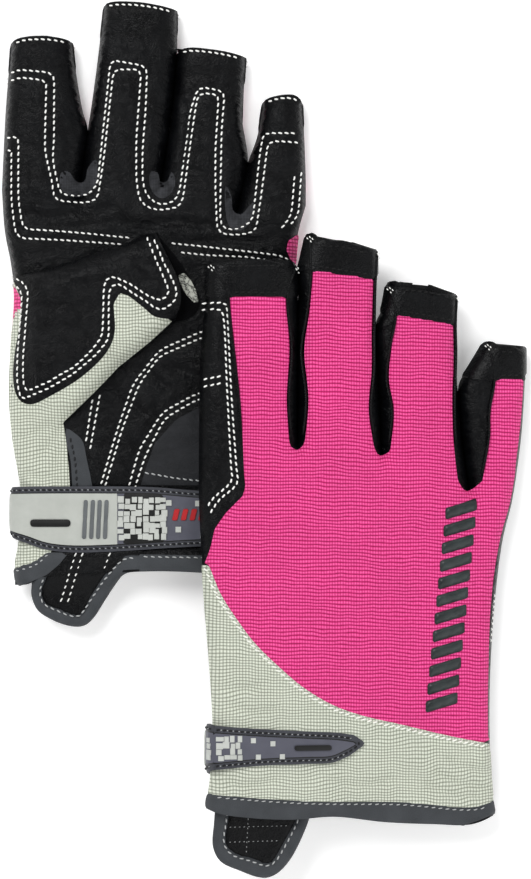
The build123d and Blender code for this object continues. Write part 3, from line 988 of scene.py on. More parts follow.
class Thumb:
    """The thumb stall, folded flat on the palm."""

    THICK = 6.6

    def __init__(self, glove, corners):
        self.glove = glove
        self.corners = np.array(corners, float)
        self.base_quad = np.array([(-29.5, 49), (14.5, 87.5), (-1.5, 109.5), (-47.2, 96)], float)
        self.apex = self.move([(-29.5, 49)])[0]
        self.lower = smooth(self.move([(-29.5, 49), (-19.5, 58.5), (-11.5, 67), (-1.5, 75), (6, 81),
                                       (14.5, 87.5)]))
        self.upper = smooth(self.move([(-44, 96.5), (-34, 98.5), (-20, 103), (-1.5, 109.5)]))

    def move(self, points):
        """Points drawn on the left thumb, moved to this one: each by its place among the four corners."""
        pts = np.asarray(points, float)
        if self.glove.palm_up:
            return pts
        a, b, c, d = self.base_quad
        out = []
        for p in pts:
            u, v = 0.5, 0.5
            for _ in range(12):
                here = a + (b - a) * u + (d - a) * v + (a - b + c - d) * u * v
                du = (b - a) + (a - b + c - d) * v
                dv = (d - a) + (a - b + c - d) * u
                step = np.linalg.solve(np.stack([du, dv], 1), p - here)
                u, v = u + step[0], v + step[1]
            a2, b2, c2, d2 = self.corners
            out.append(a2 + (b2 - a2) * u + (d2 - a2) * v + (a2 - b2 + c2 - d2) * u * v)
        return np.array(out)

    def rise(self, pts):
        """How far the stall's face stands off the palm."""
        edge = distance(pts, [self.lower, self.upper])[0]
        lip = quarter_round(edge, 6.5)
        side = ease(np.clip(distance(pts, [self.glove.radial])[0] / 13.0, 0, 1))
        start = self.apex + (-7.0, -5.0)
        along = ease(np.clip(((pts - start) @ np.array([0.5547, 0.832])) / 20.0, 0, 1))
        return self.THICK * lip * side * along

    def height(self, points, share=1.0):
        pts = np.asarray(points, float)
        return self.glove.height("palm", pts) - 0.3 - self.rise(pts) * share

    def surface(self, extra=0.0):
        return surface_over(self.height, -1.0, extra)

    def blend(self, obj, slot, nodes=()):
        ends = [tuple(self.apex + (-8.5, -5)) + (0.0,), tuple(self.apex + (3.5, 13)) + (0.0,)]
        self.glove.join(obj, "thumb", slot, nodes, ends)

    def panel(self, name, outline, lift, material, slot, nodes=(), share=1.0):
        """A sheet on the stall's face. Outside the stall it lies on the palm."""
        outline = self.glove.hold_inside(outline)
        flat, tris = cut_sheet(outline)
        on_stall = inside(flat, self.outline())
        z = np.where(on_stall, self.height(flat, share), self.glove.height("palm", flat) - 0.3)
        verts = np.column_stack([flat, z])
        tris = tris[:, ::-1]
        normals = vertex_normals(verts, tris)
        d = distance(flat, [looped(outline)])[0]
        rolled = quarter_round(d, 0.8) * 0.7 + 0.3
        solid, faces, sharp, count = thicken(verts, tris, normals, lift * rolled, 0.3)
        obj = self.glove.mesh(name, solid, faces, np.vstack([flat, flat]), material, sharp, normals, count)
        self.blend(obj, slot, nodes)

    def outline(self):
        y = self.glove.radial[:, 1]
        foot = self.glove.radial[(y > self.apex[1] - 6) & (y < self.upper[0][1])]
        return np.vstack([self.lower, self.upper[::-1], foot[::-1]])

    def shell(self):
        """The stall's leather: a face over an under sheet, closed along both sides and open at the mouth."""
        mouth = smooth(self.move([(6.5, 81.5), (8.4, 87), (8.2, 93), (4.2, 102.3), (0.4, 110)]))
        lower = smooth(self.move([(-29.5, 49), (-19.5, 58.5), (-11.5, 67), (-1.5, 75), (6.5, 81.5)]))
        upper = smooth(self.move([(0.4, 110), (-20, 103), (-34, 98.5), (-44, 96.5)]))
        foot = smooth(self.move([(-44, 96.5), (-42, 88), (-41, 70), (-37, 56), (-29.5, 49)]))
        face = np.vstack([lower[:-1], mouth[:-1], upper[:-1], foot[:-1]])
        far = smooth(self.move([(6.5, 81.5), (11.5, 83), (14.5, 87.5), (12.5, 93.5), (6.5, 103), (0.4, 110)]))
        under = np.vstack([lower[:-1], far[:-1], upper[:-1], foot[:-1]])
        for name, outline, is_face in (("thumb_face", face, True), ("thumb_under", under, False)):
            flat, tris = cut_sheet(outline)
            verts = np.column_stack([flat, self.height(flat, 1.0 if is_face else 0.0)])
            tris = tris[:, ::-1]
            normals = vertex_normals(verts, tris)
            solid, faces, sharp, count = thicken(verts, tris, normals, 0.0, 0.9 if is_face else 0.25)
            obj = self.glove.mesh(name, solid, faces, np.vstack([flat, flat]),
                                  LEATHER if is_face else LINING, sharp, normals, count)
            self.blend(obj, "palm_leather", ["thumb_shell", "thumb_band"] if is_face else [])


# ---------------------------------------------------------------- the wrist strap and the pull tab

class Strap:
    """The wrist strap: across the palm side, round the thumb edge and on to the back as a pointed flap.
    Flat places on it are the distance along it from the thumb edge (palm side below 0) and the height y."""

    def __init__(self, glove):
        self.glove = glove
        palm_z, back_z = -1.3, (9.9 if glove.palm_up else 10.9)
        edge = float(glove.shape["radial"][1][0])
        side_x = edge - 0.7
        corner = 3.6
        path = [(34.0, palm_z), (side_x + corner, palm_z)]
        for i in range(1, 9):
            a = math.pi / 2 * i / 8
            path.append((side_x + corner * (1 - math.sin(a)), palm_z + corner * (1 - math.cos(a))))
        for i in range(0, 9):
            a = math.pi / 2 * i / 8
            path.append((side_x + corner * (1 - math.cos(a)), back_z - corner * (1 - math.sin(a))))
        path.append((14.0, back_z))
        self.path = resample(path, 0.5)
        run = np.concatenate([[0], np.cumsum(np.linalg.norm(np.diff(self.path, axis=0), axis=1))])
        mid = np.abs(self.path[:, 1] - MID) + (self.path[:, 0] > side_x + 2) * 50
        self.run = run - run[int(mid.argmin())]
        self.side_x = side_x
        self.fold = self.back(side_x + 4) - 3.0

    def palm(self, x):
        """The distance along the strap of a place on its palm side."""
        return float(np.interp(-x, -self.path[self.run < 0][:, 0], self.run[self.run < 0]))

    def back(self, x):
        """The distance along the strap of a place on its back side."""
        return float(np.interp(x, self.path[self.run > 0][:, 0], self.run[self.run > 0]))

    def at(self, points, extra=0.0):
        """Places and outward directions for flat points."""
        pts = np.asarray(points, float)
        u = pts[:, 0]
        x = np.interp(u, self.run, self.path[:, 0])
        z = np.interp(u, self.run, self.path[:, 1])
        e = 0.6
        dx = np.interp(u + e, self.run, self.path[:, 0]) - np.interp(u - e, self.run, self.path[:, 0])
        dz = np.interp(u + e, self.run, self.path[:, 1]) - np.interp(u - e, self.run, self.path[:, 1])
        size = np.maximum(np.hypot(dx, dz), 1e-9)
        normal = np.stack([-dz / size, np.zeros(len(u)), dx / size], 1)
        wave = np.array([0.22 * noise.noise(Vector((a * 0.09, b * 0.11, 4.4))) for a, b in pts])
        outwards = np.reshape(extra, (-1, 1)) + wave[:, None]
        return np.column_stack([x, pts[:, 1], z]) + normal * outwards, normal

    def tiles(self, name, outlines, low, high, material, slot, inset=0.14, flap=False):
        """Small raised shapes with sloping sides."""
        verts, faces, flats = [], [], []
        for outline in outlines:
            outline = np.asarray(outline, float)
            middle = outline.mean(0)
            span = np.maximum(np.linalg.norm(outline - middle, axis=1)[:, None], 1e-6)
            top = middle + (outline - middle) * (1 - inset / span)
            count, base = len(outline), len(verts)
            verts += list(self.at(outline, low)[0]) + list(self.at(top, high)[0])
            flats += list(outline) + list(top)
            faces += [(base + i, base + (i + 1) % count, base + count + (i + 1) % count, base + count + i)
                      for i in range(count)]
            faces.append(tuple(base + count + i for i in range(count)))
        points = self.glove.world(np.array(verts))
        normals = self.glove.direction(self.at(np.array(flats))[1])
        top_face = faces[len(outlines[0])]
        a, b, c = (points[top_face[i]] for i in (0, 1, 2))
        if np.cross(b - a, c - b) @ normals[top_face[0]] < 0:
            faces = [tuple(reversed(f)) for f in faces]
        obj = make_mesh(f"{self.glove.side}_{name}", points, faces, np.array(flats), materials=[material])
        for polygon in obj.data.polygons:
            polygon.use_smooth = False
        self.join(obj, slot, flap)

    def panel(self, name, outline, lift, material, slot, nodes=(), thick=0.6, flap=False, spacing=1.3,
              roll=0.7, drop=0.35):
        """A sheet on the strap, rolled at its edges but not where it meets its neighbour at the fold."""
        outline = np.asarray(outline, float)
        flat, tris = cut_sheet(outline, spacing)
        ring = looped(outline)
        joined = np.abs(ring[:, 0] - self.fold) < 0.7
        lines = [ring[i:i + 2] for i in range(len(ring) - 1) if not (joined[i] and joined[i + 1])]
        d = distance(flat, lines)[0]
        rolled = quarter_round(d, roll)
        verts, normals = self.at(flat)
        facing = np.cross(verts[tris[:, 1]] - verts[tris[:, 0]], verts[tris[:, 2]] - verts[tris[:, 0]])
        flip = (facing * normals[tris[:, 0]]).sum(1) < 0
        tris = np.where(flip[:, None], tris[:, ::-1], tris)
        solid, faces, sharp, _ = thicken(verts, tris, normals, lift - drop * (1 - rolled), thick - lift)
        obj = self.glove.mesh(name, solid, faces, np.vstack([flat, flat]), material, sharp)
        self.join(obj, slot, flap, nodes)

    def join(self, obj, slot, flap, nodes=()):
        """Rides a piece on the hand or, for the flap, gives it two ends beyond the fold and bakes it in place.
        """
        ends = self.at([(self.fold, 18), (self.fold + 7.0, 18)])[0] if flap else None
        self.glove.join(obj, "flap" if flap else "hand", slot, nodes, ends)

    def sew(self, name, rows, material, extra, flap=False, width=0.6, rise=0.26, lift=0.05, length=1.25,
            start=0.3):
        stitches = [s for row in rows for s in stitch_row(row, 1.9, length, start)]
        verts, faces, flats = stitch_meshes(stitches, lambda p: self.at(p, extra), width, rise, lift)
        self.join(self.glove.mesh(name, verts, faces, flats, material), "binding_tape", flap)


# ---------------------------------------------------------------- what is drawn on the gloves, mm

# On the right glove's back
SEAM = [(-46.4, 80.3), (-43.0, 71.5), (-38.0, 63.5), (-32.0, 55.5), (-23.8, 47.5), (-16, 41), (-6.5, 35.4),
        (3, 32.0), (16, 28.9), (29, 25.7), (44.6, 22.4)]
PATCH_EDGE = [(-35.4, 109), (-35.0, 105.5), (-35.8, 102.5), (-41.3, 97), (-44.8, 92), (-46, 86), (-47.6, 81)]
PINK_STRIPS = {
    "index": ([(-35.4, 109), (-36.4, 129.7), (-38.0, 145.8), (-39.4, 158.7), (-40.2, 166.8)],
              [(-22.0, 166.8), (-20.8, 149), (-21.7, 133), (-20.8, 119.5)]),
    "middle": ([(-15.4, 120), (-14.4, 133), (-15.6, 149), (-14.0, 162), (-13.0, 175.2)],
               [(6.6, 172.6), (6.2, 156), (6.0, 142.6), (4.9, 130), (6.6, 118.4)]),
    "ring": ([(12.3, 116.8), (13.3, 129.7), (11.8, 139.4), (12.4, 149), (14.4, 161.2)],
             [(32.8, 158.2), (33.0, 147.4), (32.4, 133), (32.7, 120), (34.0, 107.5)]),
    "little": ([(42.2, 107), (44.7, 121.6), (44.8, 129), (46.6, 140.6)],
               [(57.5, 140.6), (56.4, 126.5), (54.6, 111), (54.6, 108)]),
}
CROTCHES = {"index": [(-20.0, 117.9), (-18.2, 116.9), (-16.3, 117.8)],
            "middle": [(7.7, 115.9), (9.4, 115.0), (11.2, 115.8)],
            "ring": [(35.2, 105.3), (36.3, 104.1), (37.6, 103.7), (39.1, 104.0), (40.2, 105.1)]}
PATCH_ROWS = [
    [(-48.6, 163.8), (-41.2, 163.5), (-40.9, 161.6), (-39.6, 136), (-37.9, 111.5), (-37.6, 106.5),
     (-43.5, 101), (-46.4, 96.5)],
    [(-48.6, 161.8), (-42.9, 161.6), (-42.2, 160.2), (-40.9, 136), (-39.6, 111.6), (-39.4, 107.3),
     (-45.4, 101.5), (-47.8, 97.5)],
    [(-48.6, 139.4), (-41.2, 140.9)], [(-48.6, 137.1), (-40.9, 138.7)],
]
# On the left glove's palm
PALM_ROWS = [
    [(-47, 162), (-44, 163), (-34, 162), (-32.5, 160.5), (-32.5, 140.5), (-33, 134), (-30.5, 122.5),
     (-21.5, 122.5), (-18.5, 126), (-16, 150), (-14.5, 164.5), (-13.5, 166), (-2.5, 164), (-3, 150),
     (-4, 137), (-4, 127.5), (-3, 122.5), (1.5, 119), (6.5, 120.5), (8, 124), (11.5, 150), (14, 157.5),
     (22.5, 156), (21.5, 143.5), (21, 116), (21.5, 112), (26, 111), (31.5, 114), (34, 137), (35, 142),
     (36, 142.5), (47, 142.5)],
    [(-47, 159.5), (-43.5, 160.5), (-36, 159.5), (-35, 158.5), (-35.5, 137), (-33, 126), (-32.5, 121.5),
     (-30, 120.5), (-22.5, 120), (-18.5, 121), (-16.5, 134), (-13.5, 161.5), (-12.5, 163), (-5.5, 163),
     (-4.5, 161.5), (-6, 140.5), (-6, 127.5), (-5, 121), (-2.5, 118.5), (1.5, 117.5), (7.5, 118.5), (9, 121),
     (13, 150), (14, 155.5), (19.5, 155), (20.5, 154), (19.5, 137), (19.5, 124), (20, 112), (21.5, 110),
     (26, 109.5), (32.5, 110.5), (34.5, 124), (36.5, 140), (46.5, 139.5)],
    [(-48.3, 141), (-45, 141.5), (-44, 140.5), (-44, 121), (-42.5, 111.5), (-34, 111), (-21, 110),
     (-7, 108.5)],
    [(-48, 137), (-46.3, 137.5), (-46.3, 121), (-45, 110.5), (-43, 108.5), (-30.5, 108), (-10, 106.5)],
    [(5, 107), (14.5, 106), (27.5, 104.5), (40.5, 103), (44.2, 101)],
    [(8, 104), (17.5, 103), (30.5, 102.5), (38.5, 101)],
    [(47.2, 130.5), (46.2, 116), (42.4, 111.5)], [(45.0, 129), (44.0, 116), (40.6, 111.5)],
    [(14, 78), (1.5, 72.5), (-7, 61.5), (-12, 47), (-18, 27)],
    [(14, 76), (1.5, 70.5), (-5, 61.5), (-10.5, 47), (-16.5, 27)], [(40, 84), (28, 81.5), (14, 78)],
    [(40, 82), (28, 79.5), (14, 76)],
    [(40, 60), (26, 60.5), (13.5, 58.5), (2.5, 52.5), (-5, 40.5), (-8.8, 27)],
    [(40, 58), (26, 58.5), (13.5, 56.5), (3.2, 50.5), (-3, 38.5), (-6.8, 27)],
    [(-20, 57), (-22.3, 42)], [(-17.6, 58.5), (-21, 39.5)],
]
PALM_CREASES = [
    [(-41, 117.0), (-33, 115.4), (-24, 116.6), (-17, 115.6)], [(-38, 113.4), (-28, 112.4), (-15, 113.6)],
    [(-12, 114.8), (-3, 112.8), (8, 114.2), (16, 112.6)], [(12, 107.6), (22, 108.2), (33, 107.0)],
    [(-29.5, 146), (-27.5, 138), (-29, 131)], [(-27, 151), (-25.6, 143)],
    [(9.6, 152), (10.8, 142), (9.4, 134)], [(25.2, 140), (26.4, 132), (25.4, 125)],
    [(-24, 118.6), (-20, 117.4), (-15, 118.2)], [(-30.6, 46.5), (-33.4, 42.4), (-37.5, 38.6)],
    [(-29.6, 42.5), (-31.6, 36.5), (-32.4, 30)], [(-32.6, 49.5), (-37.4, 46.8), (-42.4, 45)],
    [(-41.5, 33), (-36.5, 31.6), (-31.5, 33)], [(-14, 70), (-4, 66), (4, 60)],
    [(-16, 62), (-9, 57), (-4, 52)], [(4, 68), (14, 64), (24, 66)],
]
BACK_CREASES = [
    [(27, 13.5), (35, 10), (44, 8.4)], [(31, 18), (38, 14.8), (45, 14)], [(24, 9.6), (32, 6.6), (40, 5.6)],
    [(-40, 36), (-33, 33.6), (-25, 34.6)], [(-43, 12.5), (-35, 10.4), (-26, 11.6)],
    [(-8, 12), (2, 10.2), (12, 11.4)], [(-44, 42), (-37, 40.8), (-31, 42)],
]
SIDE_PINK = [(46.2, 110.0), (43.0, 107.8), (42.4, 104.8), (43.8, 101.6), (46.0, 100.2)]
GREY_ROWS = [[(-3.5, 33), (13.5, 30.6), (38, 30)]]
HEEL_PAD = [(-4.5, 29), (-2.5, 35.5), (0, 42.5), (6.8, 50), (13.5, 53.7), (26, 55), (40, 55), (41, 44),
            (41, 29)]
CROTCH_PATCHES = [
    [(-30.1, 129.7), (-28.0, 130.2), (-25.3, 127.0), (-22.8, 127.2), (-21.6, 131.5), (-19.0, 134),
     (-18.6, 128.4), (-19.6, 124.6), (-22.8, 122.6), (-28.4, 122.7), (-30.6, 125.6)],
    [(-1.2, 130.2), (0.9, 129.8), (1.6, 127.0), (3.8, 127.0), (5.4, 130.0), (6.6, 127.4), (5.4, 123.4),
     (2.6, 121.4), (0.0, 122.6), (-1.7, 126.0)],
    [(22.9, 125.4), (24.6, 122.4), (25.2, 117.6), (27.8, 116.4), (30.2, 118.8), (31.8, 120.2), (31.2, 115.4),
     (29.4, 112.2), (26.4, 110.8), (24.0, 112.4), (22.8, 117.0)],
]
THUMB_PATCH = [(-45.5, 95), (-43, 88.5), (-43, 82.5), (-44.6, 74), (-45.6, 66), (-45, 59.5), (-43, 56),
               (-39.5, 55), (-32.5, 58), (-24, 63), (-15.5, 71), (-13, 76), (-12.5, 80.5), (-13, 87),
               (-11, 90.5), (-8, 89.5), (-3, 85.5), (0, 83), (3.2, 82.4)]
THUMB_PINK = [(-46.8, 93.6), (-45.3, 92.8), (-43.4, 90.0), (-42.8, 86.5), (-44.6, 84.0), (-47.4, 81.4)]
THUMB_ROWS = [
    [(-46.4, 93.8), (-43, 92.8), (-42, 90), (-43.5, 70.3), (-43.7, 62.3), (-42.7, 57.3), (-41.9, 56.8),
     (-33.9, 60.1), (-25.8, 64.5), (-17.7, 71.4), (-14.5, 75.5), (-14.5, 90.3), (-13.7, 92.7),
     (-11.3, 93.4), (-1.6, 87.1), (1.6, 84.8), (5.6, 86.8), (7.7, 90.3), (5.6, 95.2), (2.5, 101.5),
     (-0.5, 109.5)],
    [(-46.4, 96.6), (-41.9, 94.4), (-39.9, 91.5), (-41.6, 70.3), (-41.7, 62.9), (-41.1, 59.1), (-33.9, 62.1),
     (-25.8, 66.5), (-19.4, 72.6), (-16.5, 76.6), (-16.1, 91.9), (-15.3, 95.2), (-12.9, 95.8), (-8.1, 93.5),
     (-1.6, 89.5), (1.2, 87.9), (3.5, 88.7), (5, 90.7), (3.5, 94.4), (0, 102.5), (-2.5, 109)],
]
THUMB_LABEL = [(7.6, 96.6), (9.4, 97.4), (11.6, 95), (13.2, 91.9), (14.1, 88.0), (12.6, 87.8), (10.2, 90.2),
               (8.2, 94)]
THUMB_PALE = [(3.4, 82.8), (5.6, 81.6), (-1.5, 75.2), (-11.5, 67.2), (-19.5, 58.8), (-29.5, 49.2),
              (-28.6, 44), (-27.6, 34), (-27, 22)]
SLIT_BINDING = [(-28.4, 47.2), (-28.2, 41.9), (-27.1, 37), (-26.6, 29), (-26.2, 16), (-19.2, 16), (-20.2, 29),
                (-21.8, 37), (-23.4, 43.5), (-25.6, 45.6)]
SLIT_ROW = [(-27.4, 44.4), (-25.6, 37), (-25.0, 29), (-24.8, 24)]
# Generic slanted bars on the back, in place of lettering
BAR_TOP, BAR_FOOT = (35.0, 98.0), (28.6, 36.0)
BAR_COUNT = 12


def hem_lines(glove):
    """The wrist's lower edge and the hem's upper edge."""
    if glove.palm_up:
        high = [(-45.2, 2.6), (-38, 5.0), (-30, 6.4), (-10, 6.7), (16, 6.3), (43.4, 5.4)]
    else:
        high = [(-46.6, 7.5), (-16, 5.0), (16, 4.1), (38.5, 2.3), (46.6, 3.9)]
    return smooth(glove.shape["wrist"]), smooth(high)


def back_panels(glove, right):
    """Everything on the back of the hand and of the finger stalls."""
    draw = lambda line: carry(line, right, glove)
    outline = []
    outline += draw(PATCH_EDGE[::-1])[:-1]
    for f in FINGERS:
        left, rightward = PINK_STRIPS[f]
        outline += [tuple(p) for p in smooth(draw(left), 2.0)]
        outline += [tuple(p) for p in smooth(draw(rightward), 2.0)]
        if f in CROTCHES:
            outline += draw(CROTCHES[f])
    hand = glove.ulnar[(glove.ulnar[:, 1] > 22.5)][::-1]
    outline += [tuple(p) for p in hand]
    seam = smooth(draw(SEAM), 2.0)
    outline += [tuple(p) for p in seam[::-1][1:]]
    pink = glove.hold_inside(resample(outline, 1.2, True))
    edge = distance(pink, [glove.ulnar, glove.right_edges["little"]])[0] < 0.4
    if glove.palm_up:
        inset = np.where((pink[:, 1] > 100) & (pink[:, 1] < 110.5), 0.2, 2.2)
    else:
        inset = 1.2 + 1.0 * np.exp(-((pink[:, 1] - 72) / 22) ** 2)
    pink[edge, 0] -= inset[edge]
    split_panel(glove, "pink_back", "back", pink, 0.5, PINK, "stretch_fabric",
                {"hand": ["back_panel"], "index": ["index_back"], "middle": ["middle_back"],
                 "ring": ["ring_back"], "little": ["little_back"]})
    if not glove.palm_up:
        side = glove.ulnar[(glove.ulnar[:, 1] > 54) & (glove.ulnar[:, 1] < 72)]
        sew(glove, "side_stitches", face_surface(glove, "back", 0.0), [side - (0.9, 0.0)], WHITE_THREAD,
            width=0.36, rise=0.2, lift=0.05, pitch=1.8, length=1.0)

    low, high = hem_lines(glove)
    radial = glove.radial[(glove.radial[:, 1] < seam[0][1]) & (glove.radial[:, 1] > high[0][1] - 1.5)]
    ulnar = glove.ulnar[(glove.ulnar[:, 1] < seam[-1][1]) & (glove.ulnar[:, 1] > high[-1][1] - 1.5)]
    pale = np.vstack([radial[::-1], side_line(high, -0.6), ulnar, seam[::-1]])
    split_panel(glove, "pale_cuff", "back", resample(pale, 1.2, True), 0.46, PALE, "cuff_fabric",
                ["cuff_panel"])

    hem = np.vstack([low, high[::-1]])
    split_panel(glove, "hem_back", "back", resample(hem, 1.0, True), 0.95, BINDING, "binding_tape",
                ["wrist_binding"], sink=0.9, roll=1.1)

    for f in FINGERS:
        tip = glove.tip(f)
        left, rightward = PINK_STRIPS[f]
        root = glove.folds[f] + 1.0
        for end, edge, out, corner in (("left", draw(left), -0.55, tip[0] + (1.6, -0.4)),
                                       ("right", draw(rightward)[::-1], 0.45, tip[-1] + (-1.2, -0.4))):
            line = smooth(edge + [tuple(corner)], 0.9) + (out, 0.0)
            line = glove.hold_inside(line[line[:, 1] > root])
            if f == "little" and end == "right":
                continue
            piping(glove, f"{f}_{end}_piping", face_surface(glove, "back", 0.5), line, SMOOTH_LEATHER, f,
                   rise=0.65)
            ends = line[-1] + np.array([(-0.55, -0.5), (0.05, -0.1), (0.65, -0.7), (0.2, -1.5)])
            sew(glove, f"{end}_thread_ends", face_surface(glove, "back", 1.1),
                [[e, e + (0.3, -1.1)] for e in ends], WHITE_THREAD, width=0.34, rise=0.18, lift=0.05,
                pitch=1.2, length=0.75)
        a = np.array(draw([left[-1]])[0])
        b = np.array(draw([rightward[0]])[0])
        cut_left = glove.left_edges[f][-1] + (a - glove.left_edges[f][-1]) * (0.0, 1.0) + (0.3, -1.2)
        cut_right = glove.right_edges[f][-1] + (b - glove.right_edges[f][-1]) * (0.0, 1.0) + (-0.3, -1.2)
        lower = resample([cut_left, a + (0, -1.3), b + (0, -1.3), cut_right], 1.2)
        left_edge = glove.left_edges[f][glove.left_edges[f][:, 1] > cut_left[1]]
        right_edge = glove.right_edges[f][glove.right_edges[f][:, 1] > cut_right[1]]
        band = np.vstack([lower, right_edge, tip[::-1], left_edge[::-1]])
        split_panel(glove, "tip_band", "back", resample(band, 1.0, True), 0.85, SMOOTH_LEATHER,
                    "palm_leather", {f: [f"{f}_band"]}, sink=0.5, roll=0.9,
                    edge_share=0.3 if glove.palm_up else 0.7)
        sew(glove, "band_stitches", face_surface(glove, "back", 0.85),
            [resample(side_line(tip, -2.1)[3:-3], 0.8), resample([a + (1.2, 0.5), b + (-1.0, 0.5)], 0.8)],
            BLACK_THREAD, width=0.45, rise=0.2, lift=0.0)


def build_glove(glove, left, right):
    """All the pieces of one glove."""
    draw_palm = lambda line: carry(line, left, glove)
    draw_back = lambda line: carry(line, right, glove)
    palm_rows = [rounded(draw_palm(row), 2.6, 0.7) for row in PALM_ROWS]
    back_rows = [smooth(draw_back(row), 0.8) for row in PATCH_ROWS]
    tips = {f: glove.tip(f) for f in FINGERS}
    tip_rows = [resample(side_line(tips[f], -1.05)[1:-1], 0.8) for f in FINGERS]
    glove.grooves["palm"] = palm_rows + tip_rows
    glove.grooves["back"] = back_rows
    glove.creases = {"palm": [smooth(draw_palm(line)) for line in PALM_CREASES],
                     "back": [smooth(draw_back(line)) for line in BACK_CREASES]}

    shell(glove)
    back_panels(glove, right)

    back = face_surface(glove, "back", 0.0)
    palm = face_surface(glove, "palm", 0.0)
    sew(glove, "palm_stitches", palm, palm_rows + tip_rows, WHITE_THREAD, lift=0.05)
    sew(glove, "patch_stitches", back, back_rows, WHITE_THREAD, lift=0.05)
    sew(glove, "seam_stitches", face_surface(glove, "back", 0.5),
        [side_line(smooth(draw_back(SEAM), 0.8), -1.1)], PALE_THREAD, lift=0.1, width=0.46, slant=0.6,
        pitch=1.9)
    low, high = hem_lines(glove)
    sew(glove, "hem_stitches", face_surface(glove, "back", 0.95), [side_line(high, -0.8)[2:-2]], GREY_THREAD,
        lift=0.02, width=0.36, rise=0.2, pitch=2.3, length=1.3)
    palm_high = side_line(high, -0.9)
    sew(glove, "palm_hem_stitches", face_surface(glove, "palm", 0.9), [palm_high[palm_high[:, 0] > -5]],
        GREY_THREAD, lift=0.02, width=0.42, rise=0.2, pitch=2.3, length=1.4)

    split_panel(glove, "heel_pad", "palm", resample(draw_palm(HEEL_PAD), 1.2, True), 0.35, HEEL,
                "palm_leather", ["palm_overlay"])
    sew(glove, "heel_stitches", face_surface(glove, "palm", 0.35),
        [smooth(draw_palm(r), 0.8) for r in GREY_ROWS], GREY_THREAD, lift=0.02, width=0.45, rise=0.2)
    for i, patch in enumerate(CROTCH_PATCHES):
        split_panel(glove, f"gusset_{i + 1}", "palm", smooth(draw_palm(patch), 1.0, True), 0.2, GUSSET,
                    "gusset_fabric", ["fourchettes"] if i == 0 else ())
    if glove.palm_up:
        split_panel(glove, "side_pink", "palm", resample(SIDE_PINK, 0.9, True), 0.5, PINK, "stretch_fabric",
                    edge_share=1.0)
    palm_hem = np.vstack([side_line(low, 0.0), side_line(high, 0.0)[::-1]])
    palm_hem = palm_hem[palm_hem[:, 0] > (-6 if glove.palm_up else -12.5)]
    split_panel(glove, "hem_palm", "palm", resample(palm_hem, 1.0, True), 0.9, BINDING, "binding_tape",
                sink=0.9, roll=1.1)
    end = [(-45.4, 2.4), (-44.8, -3.2), (-41.9, -3.0), (-34.7, 0.1), (-30.6, 3.6), (-27.4, 7.6),
           (-34.7, 7.6), (-38.7, 4.9)]
    if not glove.palm_up:
        end = [(-46.6, 7.0), (-46.8, 2.7), (-38, 0.8), (-30, -0.2), (-27, 5.6), (-36, 6.6)]
    split_panel(glove, "hem_end", "palm", resample(end, 1.0, True), 1.0, BINDING, "binding_tape", sink=0.9,
                roll=1.1)
    if glove.palm_up:
        end_row = smooth([(-44.4, 1.3), (-41, 2.3), (-38, 3.5), (-35.2, 5.6), (-33.4, 6.9)], 0.8)
        sew(glove, "hem_end_stitches", face_surface(glove, "palm", 1.0), [end_row], GREY_THREAD, lift=0.02,
            width=0.36, rise=0.2, pitch=2.0, length=1.1)
    thumb_pieces(glove)
    strap_pieces(glove)
    tab_pieces(glove)
    bars(glove, right)


def bars(glove, right):
    """A column of raised slanted bars on the back, in place of lettering."""
    solids, polygons, flats, total = [], [], [], 0
    top, foot = np.array(BAR_TOP), np.array(BAR_FOOT)
    along = (foot - top) / np.linalg.norm(foot - top)
    pitch = np.linalg.norm(foot - top) / (BAR_COUNT - 1)
    for i in range(BAR_COUNT):
        middle = top + along * pitch * i
        wide, thick, lean = 5.2, 1.85, 1.5
        corners = [middle + (-wide, -thick - lean), middle + (wide, -thick + lean),
                   middle + (wide, thick + lean), middle + (-wide, thick - lean)]
        outline = rounded(carry([tuple(c) for c in corners], right, glove), 0.6, 0.8, True)
        flat, tris = cut_sheet(outline, 1.1)
        verts = np.column_stack([flat, glove.height("back", flat)])
        normals = vertex_normals(verts, tris)
        d = distance(flat, [looped(outline)])[0]
        solid, faces, _, _ = thicken(verts, tris, normals, 0.66 + 0.24 * np.sqrt(np.clip(d / 0.5, 0, 1)), 0.1)
        solids.append(solid)
        polygons += [tuple(v + total for v in f) for f in faces]
        flats.append(np.vstack([flat, flat]))
        total += len(solid)
    glove.join(glove.mesh("back_bars", np.vstack(solids), polygons, np.vstack(flats), PRINT), "hand",
               "stretch_fabric")


